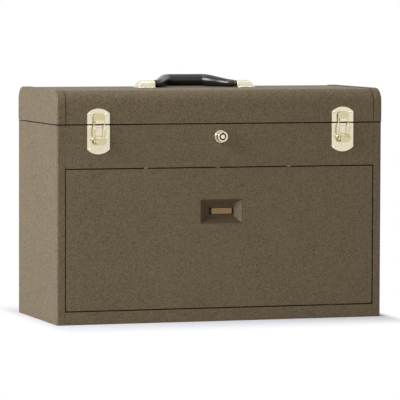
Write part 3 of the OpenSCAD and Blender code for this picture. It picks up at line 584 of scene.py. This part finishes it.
def wool_felt():
    """Pressed wool felt: matt, with short fibres lying every way."""
    material, tree, shader, place = new_material("brown_wool_felt")
    # Fibres are under 0.1 mm thick: their tufts are drawn 0.8 mm apart
    tufts = add_node(tree, "ShaderNodeTexNoise", {
        "Vector": place, "Scale": 1 / (0.8 * MM), "Detail": 5.0, "Roughness": 0.75, "Distortion": 2.0})
    felt = colour(bpy.context.scene.toolbox_finish.felt)
    follow_pattern(
        tree, shader, tufts, (paint("#3E2E20"), felt), relief=(0.7, 0.25 * MM),
        **{"Roughness": 0.95, "Sheen Weight": 0.4})
    return material


# ---- Pieces ----


class TOOLBOX_OT_stage(bpy.types.Operator):
    """Sets up the camera, the pale floor and the soft lamps"""

    bl_idname = "toolbox.stage"
    bl_label = "Stage"

    def execute(self, context):
        stage = context.scene.toolbox_stage
        self.add_camera(context)
        self.add_world(context, stage)
        self.add_floor(stage)
        # The key lamp stands on the left and the front stays in its half shadow
        key = self.add_lamp("key_lamp", *KEY_LAMP, stage.key_power)
        key.data.color = KEY_TINT
        self.add_lamp("top_lamp", *TOP_LAMP, stage.top_power)
        self.add_lamp("fill_lamp", *FILL_LAMP, stage.fill_power)
        context.scene.view_settings.view_transform = "Standard"
        return {"FINISHED"}

    def add_camera(self, context):
        """The photograph's camera, as it was fitted."""
        data = bpy.data.cameras.new("photo_camera")
        data.sensor_width = SENSOR
        data.lens = FOCAL_PIXELS * SENSOR / FRAME_PIXELS
        data.clip_end = 50
        camera = put_in_scene("photo_camera", data)
        level = Vector((math.sin(CAMERA_YAW), math.cos(CAMERA_YAW), 0))
        ahead = level * math.cos(CAMERA_PITCH) - Vector((0, 0, math.sin(CAMERA_PITCH)))
        right = Vector((math.cos(CAMERA_YAW), -math.sin(CAMERA_YAW), 0))
        up = right.cross(ahead)
        turned_right = right * math.cos(CAMERA_ROLL) + up * math.sin(CAMERA_ROLL)
        turned_up = up * math.cos(CAMERA_ROLL) - right * math.sin(CAMERA_ROLL)
        turn = Matrix((turned_right, turned_up, -ahead)).transposed()
        camera.matrix_world = Matrix.Translation(CAMERA_AT) @ turn.to_4x4()
        context.scene.camera = camera

    def add_world(self, context, stage):
        """A surround that looks plain white and lights the box only weakly."""
        world = bpy.data.worlds.new("white_surround")
        tree = empty_tree(world)
        strength = add_node(tree, "ShaderNodeMapRange", {
            "Value": self.seen_rays(tree), "To Min": stage.sky, "To Max": 1.0})
        back = add_node(tree, "ShaderNodeBackground", {"Color": WHITE, "Strength": strength})
        add_node(tree, "ShaderNodeOutputWorld", {"Surface": back})
        context.scene.world = world

    def seen_rays(self, tree):
        """1 for the rays that show the background: the camera's, and what metal mirrors."""
        rays = add_node(tree, "ShaderNodeLightPath")
        mirrored = add_node(tree, "ShaderNodeMath", {
            0: rays.outputs["Is Glossy Ray"], 1: rays.outputs["Is Transmission Ray"]}, operation="MAXIMUM")
        return add_node(tree, "ShaderNodeMath", {
            0: rays.outputs["Is Camera Ray"], 1: mirrored}, operation="MAXIMUM")

    def add_floor(self, stage):
        """Pale paper that turns to plain white away from the box, so that the floor has no horizon."""
        material = bpy.data.materials.new("white_paper_floor")
        tree = empty_tree(material)
        low, high = CAD_BOX
        middle = Vector(((low.x + high.x) / 2, (low.y + high.y) / 2, 0))
        half = Vector(((high.x - low.x) / 2, (high.y - low.y) / 2, 0))
        # How far a spot lies outside the box's foot
        spot = add_node(tree, "ShaderNodeTexCoord").outputs["Object"]
        for operation, amount in (
                ("SUBTRACT", middle), ("ABSOLUTE", (0, 0, 0)), ("SUBTRACT", half),
                ("MAXIMUM", (0, 0, 0)), ("MULTIPLY", SHADOW_STRETCH)):
            spot = add_node(tree, "ShaderNodeVectorMath", {0: spot, 1: amount}, operation=operation)
        away = add_node(tree, "ShaderNodeVectorMath", {0: spot}, operation="LENGTH")
        white_share = add_node(tree, "ShaderNodeMapRange", {
            "Value": away, "From Max": stage.shadow_reach}, interpolation_type="SMOOTHSTEP")
        paper = add_node(tree, "ShaderNodeBsdfDiffuse", {"Color": PAPER})
        white = add_node(tree, "ShaderNodeEmission", {"Color": WHITE, "Strength": 1.0})
        share = add_node(tree, "ShaderNodeMath", {
            0: self.seen_rays(tree), 1: white_share}, operation="MULTIPLY")
        mixed = add_node(tree, "ShaderNodeMixShader", {0: share, 1: paper, 2: white})
        add_node(tree, "ShaderNodeOutputMaterial", {"Surface": mixed})
        mesh = bpy.data.meshes.new("floor")
        corners = [(x * FLOOR_REACH, y * FLOOR_REACH, 0) for x, y in ((-1, -1), (1, -1), (1, 1), (-1, 1))]
        mesh.from_pydata(corners, [], [(0, 1, 2, 3)])
        mesh.materials.append(material)
        floor = put_in_scene("floor", mesh)
        floor.location.z = -FLOOR_DROP

    def add_lamp(self, name, place, size, power):
        """A square lamp that looks at the middle of the box."""
        data = bpy.data.lights.new(name, "AREA")
        data.shape = "SQUARE"
        data.size = size
        data.energy = power
        lamp = put_in_scene(name, data)
        lamp.location = place
        middle = (CAD_BOX[0] + CAD_BOX[1]) / 2
        lamp.rotation_euler = (middle - Vector(place)).to_track_quat("-Z", "Y").to_euler()
        return lamp


class TOOLBOX_OT_sheet_metal(bpy.types.Operator):
    """Finishes the enamelled case, lid, panel and drawers"""

    bl_idname = "toolbox.sheet_metal"
    bl_label = "Enamelled sheet"

    # The painted shade line's middle lies this far in from the end cap's edge
    SEAM_INSET = 0.5 * MM
    # A slope of the recess whose face turns this far to the left is in the light
    LIT_SLOPE = -0.3
    # A gap strip's section in millimetres: inward from the end panel's outer face, and up from its foot.
    # Then how far it stays from the panel's front and back, and how deep it is sunk in its top
    BUMPER_SECTION = ((0.15, 0.0), (0.15, 1.1), (0.35, 1.4), (0.75, 1.4), (0.95, 1.1), (0.95, 0.0))
    BUMPER_FRONT, BUMPER_BACK, BUMPER_SUNK = 1.2 * MM, 2 * MM, 0.1 * MM
    # Each end of a gap strip drops by so many millimetres over its last stretch
    BUMPER_DROP, BUMPER_TAPER = 0.3, 0.4 * MM

    def execute(self, context):
        enamel = wrinkle_enamel()
        finish_nodes(SHEET_EDGES, enamel)
        self.finish_recess(enamel)
        cap_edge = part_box("lid_right_end")[0].x
        softened("lid_shell", LID_EDGE, wrinkle_enamel(cap_edge - self.SEAM_INSET))
        self.lay_bumpers(matte_rubber())
        return {"FINISHED"}

    def finish_recess(self, enamel):
        """The finger recess: darker where it is in shade, and plain enamel on the slope to the light.

        The darker enamel on the slopes away from the light is painted shade. The photograph doesn't
        tell grime from deep shade, so the darker slopes are a guess.
        """
        recess = softened("finger_cup", RECESS_EDGE, handled_enamel())
        recess.data.materials.append(enamel)
        low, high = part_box("finger_cup")
        # Painted shade: faces on the slope to the light get plain enamel, and the rest keep the darker
        # enamel
        for polygon in recess.data.polygons:
            if polygon.center.x > (low.x + high.x) / 2 and polygon.normal.x < self.LIT_SLOPE:
                polygon.material_index = 1

    def lay_bumpers(self, rubber):
        """Black strips on top of the case's ends, a guess: they close the lid's gap to the light, and their
        black is painted shade for the gap.
        """
        bm = bmesh.new()
        for end in ("left_end", "right_end"):
            low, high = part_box(end)
            side = 1 if low.x > 0 else -1
            wall = high.x if side > 0 else low.x
            front, back = low.y + self.BUMPER_FRONT, high.y - self.BUMPER_BACK
            foot = high.z - self.BUMPER_SUNK
            rings = []
            for y, drop in (
                    (front, self.BUMPER_DROP), (front + self.BUMPER_TAPER, 0.0),
                    (back - self.BUMPER_TAPER, 0.0), (back, self.BUMPER_DROP)):
                rings.append([
                    bm.verts.new((wall - side * inward * MM, y, foot + max(0.0, up - drop) * MM))
                    for inward, up in self.BUMPER_SECTION])
            bridge_rings(bm, rings)
        bmesh.ops.recalc_face_normals(bm, faces=bm.faces)
        piece_from_bmesh("end_bumpers", bm, rubber, "case")


class TOOLBOX_OT_plated_parts(bpy.types.Operator):
    """Finishes the zinc plated steel, the nickel brackets and the brass plate"""

    bl_idname = "toolbox.plated_parts"
    bl_label = "Plated parts"

    # The lock bar's lower edge above the foot of the header, how near a point is to count as on
    # it, and how far it is raised
    BAR_EDGE, BAR_NEAR, BAR_RAISE = 7 * MM, 0.02 * MM, 0.06 * MM
    # The plate ends and its tongues begin this far behind its face
    TONGUES_FROM = 0.7 * MM

    def execute(self, context):
        finish_nodes(ZINC_EDGES, zinc_plate())
        self.ease_lock_bar()
        finish_nodes(BRACKET_EDGES, bright_nickel())
        self.finish_plate()
        return {"FINISHED"}

    def ease_lock_bar(self):
        """Raises the lower edge of the lock bar a hair, so that at full travel it clears the header."""
        mesh = bpy.data.objects["lock_bar_finished"].data
        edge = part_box("front_header")[0].z + self.BAR_EDGE
        for vert in mesh.vertices:
            if abs(vert.co.z - edge) < self.BAR_NEAR:
                vert.co.z += self.BAR_RAISE

    def finish_plate(self):
        """The brass plate in the recess; the tongues that hold it are painted dark as shade."""
        plate = softened("pull_plate", PLATE_EDGE, satin_brass())
        plate.data.materials.append(oiled_steel())
        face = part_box("pull_plate")[0].y
        for polygon in plate.data.polygons:
            if polygon.center.y > face + self.TONGUES_FROM:
                polygon.material_index = 1


def cut_across(bm, axis, low, high, step):
    """Cuts a mesh by planes a step apart across an axis, so that it can be bent there."""
    normal = Vector((0, 0, 0))
    normal[axis] = 1
    for i in range(1, round((high - low) / step)):
        place = Vector((0, 0, 0))
        place[axis] = low + i * step
        everything = bm.verts[:] + bm.edges[:] + bm.faces[:]
        bmesh.ops.bisect_plane(bm, geom=everything, plane_co=place, plane_no=normal, dist=1e-7)


class TOOLBOX_OT_latches(bpy.types.Operator):
    """Finishes the draw latches: crowned finger levers, links, plates and keepers"""

    bl_idname = "toolbox.latches"
    bl_label = "Draw latches"

    # The moving parts get a yellower, darker nickel than the plates: painted reflection of the pale floor
    # and painted shade. They are also duller
    WORN_NICKEL, WORN_DULL = "#D3C7A0", 0.08
    # Half the finger tongue's width, its height, and how deep behind its face a point still moves
    TONGUE_HALF, TONGUE_RISE, TONGUE_SKIN = 6.6 * MM, 8.5 * MM, 1.2 * MM
    # How far apart it is cut across and up
    CUT_X, CUT_Z = 1.1 * MM, 0.85 * MM
    # The crown is full from a third of the way down
    CROWN_GAIN = 3
    # A plate's own face is this far in front of its back
    PLATE_FACE = 1.2 * MM
    # The pressed panel's steps in millimetres: half its width, its foot and its head below the
    # plate's top, and how far it stands out
    PANEL_STEPS = (
        (5.9, 16.6, 3.2, -0.3), (5.9, 16.6, 3.2, 0.0), (5.5, 16.2, 3.6, 0.5), (4.9, 15.6, 4.2, 0.72))
    # The rounding of its corners, how steep their edges are, and the area of a face that stays flat
    PANEL_ROUND, PANEL_STEEP, PANEL_FLAT = 1.2 * MM, 0.05 * MM, 30 * MM * MM

    def execute(self, context):
        material = bpy.data.materials["bright_nickel_plate"]
        worn = bright_nickel("yellowed_nickel_plate", linear(self.WORN_NICKEL), self.WORN_DULL)
        finish_nodes(LATCH_EDGES, material)
        for lever, link in LATCH_LEVERS.items():
            self.crown(softened(lever, LATCH_MOVING_EDGE, worn), lever, context.scene.toolbox_sizes)
            softened(link, LATCH_MOVING_EDGE, worn)
        self.press_panels(material)
        return {"FINISHED"}

    def crown(self, piece, node, sizes):
        """Crowns the lever's finger tongue and flares its end out, as its stamping does."""
        low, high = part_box(node)
        middle = (low.x + high.x) / 2
        top = low.z + self.TONGUE_RISE
        bm = bmesh.new()
        bm.from_mesh(piece.data)
        cut_across(bm, 2, low.z, top, self.CUT_Z)
        cut_across(bm, 0, middle - self.TONGUE_HALF, middle + self.TONGUE_HALF, self.CUT_X)
        for vert in bm.verts:
            if vert.co.y > low.y + self.TONGUE_SKIN:
                continue
            down = max(0.0, (top - vert.co.z) / (top - low.z))
            across = min(1.0, abs(vert.co.x - middle) / self.TONGUE_HALF)
            vert.co.y -= sizes.tongue_flare * down * down
            vert.co.y -= sizes.tongue_crown * (1 - across * across) * min(1.0, down * self.CROWN_GAIN)
        for face in bm.faces:
            face.smooth = True
        bm.to_mesh(piece.data)
        bm.free()

    def press_panels(self, material):
        """The raised panel that is pressed in each lower plate, between the legs of the link."""
        bm = bmesh.new()
        for low, high in islands("latch_plates"):
            middle = (low.x + high.x) / 2
            face = high.y - self.PLATE_FACE
            bridge_rings(bm, [[
                bm.verts.new((middle + side * half * MM, face - out * MM, high.z - down * MM))
                for side, down in ((-1, foot), (1, foot), (1, head), (-1, head))]
                for half, foot, head, out in self.PANEL_STEPS])
        bmesh.ops.recalc_face_normals(bm, faces=bm.faces)
        corners = [e for e in bm.edges if abs((e.verts[0].co - e.verts[1].co).y) > self.PANEL_STEEP]
        bmesh.ops.bevel(
            bm, geom=corners, offset=self.PANEL_ROUND, offset_type="OFFSET", segments=4, profile=0.5,
            affect="EDGES", clamp_overlap=True)
        for face in bm.faces:
            face.smooth = face.calc_area() < self.PANEL_FLAT
        piece_from_bmesh("latch_plate_panels", bm, material, "case")


class TOOLBOX_OT_lock(bpy.types.Operator):
    """Finishes the plunger lock, with painted shade in its keyway"""

    bl_idname = "toolbox.lock"
    bl_label = "Plunger lock"

    # Inside the plunger's bore and round the core's post, from behind the rim to the floor of the keyway,
    # the steel is painted dark as shade: two radii and two depths
    BORE, POST, RIM, FLOOR = 5.4 * MM, 3.3 * MM, 0.7 * MM, 4 * MM

    def execute(self, context):
        material = bpy.data.materials["bright_nickel_plate"]
        oiled = bpy.data.materials["oiled_steel"]
        low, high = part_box("lock_plunger")
        axis = (low + high) / 2
        for node, width in LOCK_EDGES.items():
            piece = softened(node, width, material)
            if node == "lock_housing":
                continue
            piece.data.materials.append(oiled)
            for face in piece.data.polygons:
                out = math.hypot(face.center.x - axis.x, face.center.z - axis.z)
                deep = face.center.y - low.y
                in_bore = out < self.BORE or node == "lock_core"
                off_post = out > self.POST or deep > self.FLOOR
                if deep > self.RIM and in_bore and off_post:
                    face.material_index = 1
        return {"FINISHED"}


def clad_and_end(tree, geometry, material):
    """Ends a tree: its instances made real and clad in a material."""
    real = add_node(tree, "GeometryNodeRealizeInstances", {"Geometry": geometry})
    clad = add_node(tree, "GeometryNodeSetMaterial", {"Geometry": real, "Material": material})
    add_node(tree, "NodeGroupOutput", {"Geometry": clad})


def marked_mesh(name, places, edges=(), **marks):
    """A mesh of points and edges whose points carry a way, a radius or both as attributes."""
    mesh = bpy.data.meshes.new(name)
    mesh.from_pydata([tuple(place) for place in places], edges, [])
    # A new attribute moves the ones before it, so each is filled before the next
    for label, values in marks.items():
        kind, field = ("FLOAT_VECTOR", "vector") if label == "way" else ("FLOAT", "value")
        attribute = mesh.attributes.new(label, kind, "POINT")
        for i, value in enumerate(values):
            setattr(attribute.data[i], field, value)
    return mesh


def path_mesh(name, places, radii):
    """A mesh of one chain of edges whose points carry a radius."""
    return marked_mesh(name, places, [(i, i + 1) for i in range(len(places) - 1)], radius=radii)


def rivet_tree(material):
    """Domed rivet heads, instanced on points that carry their direction and radius."""
    tree, keys, given = node_group("domed_rivets", {"Rise": "NodeSocketFloat", "Steps": "NodeSocketInt"})
    ball = add_node(tree, "GeometryNodeMeshUVSphere", {
        "Segments": given.outputs["Steps"], "Rings": 12, "Radius": 1.0})
    place = add_node(tree, "GeometryNodeInputPosition")
    split = add_node(tree, "ShaderNodeSeparateXYZ", {"Vector": place})
    height = add_node(tree, "ShaderNodeMath", {
        0: split.outputs["Z"], 1: given.outputs["Rise"]}, operation="MULTIPLY")
    above = add_node(tree, "ShaderNodeMath", {0: height, 1: 0.0}, operation="MAXIMUM")
    joined = add_node(tree, "ShaderNodeCombineXYZ", {
        "X": split.outputs["X"], "Y": split.outputs["Y"], "Z": above})
    dome = add_node(tree, "GeometryNodeSetPosition", {"Geometry": ball, "Position": joined})
    smooth = add_node(tree, "GeometryNodeSetShadeSmooth", {"Geometry": dome})
    way = add_node(tree, "GeometryNodeInputNamedAttribute", {"Name": "way"}, data_type="FLOAT_VECTOR")
    size = add_node(tree, "GeometryNodeInputNamedAttribute", {"Name": "radius"}, data_type="FLOAT")
    turn = add_node(tree, "FunctionNodeAlignRotationToVector", {"Vector": way}, axis="Z")
    copies = add_node(tree, "GeometryNodeInstanceOnPoints", {
        "Points": given.outputs["Geometry"], "Instance": smooth, "Rotation": turn, "Scale": size})
    clad_and_end(tree, copies, material)
    return tree, keys


class TOOLBOX_OT_rivets(bpy.types.Operator):
    """Sets domed rivets where the CAD's are"""

    bl_idname = "toolbox.rivets"
    bl_label = "Rivets"

    def execute(self, context):
        sizes = context.scene.toolbox_sizes
        material = bpy.data.materials["bright_nickel_plate"]
        tree, keys = rivet_tree(material)
        middle = (CAD_BOX[0] + CAD_BOX[1]) / 2
        for node, body in RIVET_NODES.items():
            places, ways, radii = [], [], []
            for low, high in islands(node):
                span = high - low
                axis = min(range(3), key=lambda i: span[i])
                side = 1 if (low + high)[axis] / 2 > middle[axis] else -1
                foot = (low + high) / 2
                foot[axis] = low[axis] if side > 0 else high[axis]
                way = Vector((0, 0, 0))
                way[axis] = side
                places.append(foot)
                ways.append(way)
                radii.append(max(span) / 2)
            mesh = run_tree(
                node + "_domed", tree, keys,
                {"Rise": sizes.rivet_rise, "Steps": sizes.round_steps // 2},
                marked_mesh(node + "_points", places, way=ways, radius=radii))
            piece_from_mesh(node + "_domed", mesh, body, [node])
        return {"FINISHED"}


# A drawer knob's outline: radius and distance from the drawer's face, as shares of the CAD knob
KNOB_OUTLINE = (
    (0.72, 0.0), (0.74, 0.06), (0.66, 0.12), (0.47, 0.17), (0.41, 0.3), (0.42, 0.45),
    (0.55, 0.56), (0.86, 0.64), (0.97, 0.71), (1.0, 0.79), (0.97, 0.87), (0.88, 0.94), (0.7, 0.975),
    (0.4, 0.995), (0.05, 1.0),
)


def add_round_body(tree, path, steps):
    """Nodes that skin a path with a round body, as thick at each point as its attribute radius."""
    curve = add_node(tree, "GeometryNodeMeshToCurve", {"Mesh": path})
    ring = add_node(tree, "GeometryNodeCurvePrimitiveCircle", {"Resolution": steps, "Radius": 1.0})
    radius = add_node(tree, "GeometryNodeInputNamedAttribute", {"Name": "radius"}, data_type="FLOAT")
    body = add_node(tree, "GeometryNodeCurveToMesh", {
        "Curve": curve, "Profile Curve": ring, "Scale": radius, "Fill Caps": True})
    return add_node(tree, "GeometryNodeSetShadeSmooth", {"Geometry": body})


def knob_tree(material):
    """Turned knobs on points: an outline object is skinned once and stands on every point."""
    tree, keys, given = node_group("turned_knobs", {"Outline": "NodeSocketObject", "Steps": "NodeSocketInt"})
    outline = add_node(tree, "GeometryNodeObjectInfo", {"Object": given.outputs["Outline"]})
    knob = add_round_body(tree, outline.outputs["Geometry"], given.outputs["Steps"])
    copies = add_node(tree, "GeometryNodeInstanceOnPoints", {
        "Points": given.outputs["Geometry"], "Instance": knob})
    clad_and_end(tree, copies, material)
    return tree, keys


class TOOLBOX_OT_knobs(bpy.types.Operator):
    """Turns the drawer knobs and stands them on the drawers"""

    bl_idname = "toolbox.knobs"
    bl_label = "Drawer knobs"

    def execute(self, context):
        tree, keys = knob_tree(bpy.data.materials["bright_nickel_plate"])
        low, high = islands("knob_centre")[0]
        radius, length = (high.x - low.x) / 2, high.y - low.y
        outline = bpy.data.objects.new("knob_outline", path_mesh(
            "knob_outline", [(0, -along * length, 0) for _, along in KNOB_OUTLINE],
            [share * radius for share, _ in KNOB_OUTLINE]))
        for node, body in KNOB_NODES.items():
            feet = [((low.x + high.x) / 2, high.y, (low.z + high.z) / 2) for low, high in islands(node)]
            mesh = run_tree(
                node + "_turned", tree, keys,
                {"Outline": outline, "Steps": context.scene.toolbox_sizes.round_steps},
                marked_mesh(node + "_points", feet))
            piece_from_mesh(node + "_turned", mesh, body, [node])
        bpy.data.objects.remove(outline)
        return {"FINISHED"}


def grip_tree(material):
    """The grip: a round body of changing thickness along its bent path."""
    tree, keys, given = node_group("moulded_grip", {"Steps": "NodeSocketInt"})
    body = add_round_body(tree, given.outputs["Geometry"], given.outputs["Steps"])
    clad_and_end(tree, body, material)
    return tree, keys


class TOOLBOX_OT_grip(bpy.types.Operator):
    """Moulds the black grip along the path of its CAD shape"""

    bl_idname = "toolbox.grip"
    bl_label = "Grip"

    STATIONS = 72
    # How much nearer its brackets the moulding comes than the CAD's grip
    CLOSER = 1.0 * MM
    # Its height over the lid at its middle, and the least anywhere
    REST_GAP, LEAST_GAP = 0.9 * MM, 0.4 * MM
    # How quickly it swells, and how its last stretch is rounded: its length and the end's share
    SWELL_POWER, TIP, TIP_SHARE = 0.9, 1.2 * MM, 0.8

    def execute(self, context):
        sizes = context.scene.toolbox_sizes
        low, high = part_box("handle_grip")
        pins = islands("handle_pins")
        pivot = (pins[0][0] + pins[0][1]) / 2
        middle_x = (low.x + high.x) / 2
        half = (high.x - low.x) / 2 + self.CLOSER
        # The middle rests just over the lid, as far from the pivot line as the CAD's
        lid_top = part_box("lid_shell")[1].z
        up = lid_top + sizes.grip_radius + self.REST_GAP - pivot.z
        lie = Vector((0, math.sqrt(sizes.grip_reach ** 2 - up ** 2), up))
        places, radii = [], []
        for i in range(self.STATIONS + 1):
            share = -1 + 2 * i / self.STATIONS
            inward = (1 - abs(share)) * half
            rise = (1 - math.cos(math.pi * min(1.0, inward / sizes.grip_bend))) / 2
            swell = math.sin(math.pi / 2 * min(1.0, inward / sizes.grip_shoulder)) ** self.SWELL_POWER
            radius = sizes.grip_end_radius + (sizes.grip_radius - sizes.grip_end_radius) * swell
            tip = math.sqrt(1 - (1 - min(1.0, inward / self.TIP)) ** 2)
            radius *= self.TIP_SHARE + (1 - self.TIP_SHARE) * tip
            place = Vector((middle_x + share * half, pivot.y, pivot.z)) + lie * rise
            places.append(place)
            radii.append(min(radius, place.z - lid_top - self.LEAST_GAP))
        mesh = run_tree(
            "grip_moulded", *grip_tree(black_moulding()), {"Steps": sizes.round_steps},
            path_mesh("grip_path", places, radii))
        piece_from_mesh("grip_moulded", mesh, "handle", ["handle_grip"])
        return {"FINISHED"}


# A felt is laid as a grid of cells, just clear of what it rests on
FELT_CELL = 8 * MM
FELT_CLEAR = 0.05 * MM
# It waves by this much up and down, with so many radians to the metre each way
FELT_WAVE = 0.12 * MM
FELT_WAVES = (61, 47)
FELT_EDGE_SHARE = 0.3


def felt_sheet(name, low, high, under, material, body, sizes):
    """A felt lining: a slightly uneven sheet between two corners, over the height of what is under it."""
    width, length = high[0] - low[0], high[1] - low[1]
    nx, ny = max(2, round(width / FELT_CELL)), max(2, round(length / FELT_CELL))
    bm = bmesh.new()
    grid = []
    for j in range(ny + 1):
        row = []
        for i in range(nx + 1):
            x, y = low[0] + width * i / nx, low[1] + length * j / ny
            wave = math.sin(x * FELT_WAVES[0] + 2.1) * math.sin(y * FELT_WAVES[1] + 0.7)
            row.append(bm.verts.new((x, y, under + FELT_CLEAR + FELT_WAVE * (wave + 1))))
        grid.append(row)
    for j in range(ny):
        for i in range(nx):
            bm.faces.new((grid[j][i], grid[j][i + 1], grid[j + 1][i + 1], grid[j + 1][i]))
    for face in bm.faces:
        face.smooth = True
    piece = piece_from_bmesh(name, bm, material, body)
    thick = piece.modifiers.new("Felt thickness", "SOLIDIFY")
    thick.thickness = sizes.felt_thickness
    thick.offset = 1.0
    edge = piece.modifiers.new("Felt edge", "BEVEL")
    edge.width = sizes.felt_thickness * FELT_EDGE_SHARE
    edge.segments = 2
    return piece


class TOOLBOX_OT_linings(bpy.types.Operator):
    """Lays felt in the till and in each drawer"""

    bl_idname = "toolbox.linings"
    bl_label = "Felt linings"

    def execute(self, context):
        sizes = context.scene.toolbox_sizes
        material = wool_felt()
        low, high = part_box("till_felt")
        till = felt_sheet(
            "till_felt_laid", low, high, low.z, material, "case", sizes)
        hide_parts("till_felt")
        # A drawer's box is set in from its front, and its sheet is 0.8 mm thick
        inset, sheet, lift = 2.5 * MM, 0.8 * MM, 1.1 * MM
        for drawer in DRAWERS:
            low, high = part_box(drawer)
            margin = inset + sheet + sizes.felt_margin
            felt_sheet(
                drawer + "_felt",
                (low.x + margin, low.y + sheet + sizes.felt_margin),
                (high.x - margin, high.y - sheet - sizes.felt_margin),
                low.z + lift + sheet, material, drawer, sizes)
        return {"FINISHED"}


class TOOLBOX_PT_sidebar(bpy.types.Panel):
    """The tool box's pieces and sizes"""

    bl_idname = "TOOLBOX_PT_sidebar"
    bl_label = "Tool box"
    bl_space_type = "VIEW_3D"
    bl_region_type = "UI"
    bl_category = "Tool box"

    def draw(self, context):
        layout = self.layout
        for operator in OPERATORS:
            layout.operator(operator.bl_idname)
        for name in GROUPS:
            group = getattr(context.scene, name)
            box = layout.box()
            for label in group.__annotations__:
                box.prop(group, label)


OPERATORS = (
    TOOLBOX_OT_stage, TOOLBOX_OT_sheet_metal, TOOLBOX_OT_plated_parts, TOOLBOX_OT_latches,
    TOOLBOX_OT_lock, TOOLBOX_OT_rivets, TOOLBOX_OT_knobs, TOOLBOX_OT_grip, TOOLBOX_OT_linings,
)
GROUPS = {"toolbox_finish": ToolboxFinish, "toolbox_sizes": ToolboxSizes, "toolbox_stage": ToolboxStage}


def register():
    for cls in (*GROUPS.values(), *OPERATORS, TOOLBOX_PT_sidebar):
        bpy.utils.register_class(cls)
    for name, group in GROUPS.items():
        setattr(bpy.types.Scene, name, PointerProperty(type=group))


def unregister():
    for name in GROUPS:
        delattr(bpy.types.Scene, name)
    for cls in (TOOLBOX_PT_sidebar, *reversed(OPERATORS), *reversed(tuple(GROUPS.values()))):
        bpy.utils.unregister_class(cls)


def main():
    register()
    for operator in OPERATORS:
        space, name = operator.bl_idname.split(".")
        if getattr(getattr(bpy.ops, space), name)() != {"FINISHED"}:
            raise RuntimeError(operator.bl_label + " didn't finish")


if __name__ == "__main__":
    main()
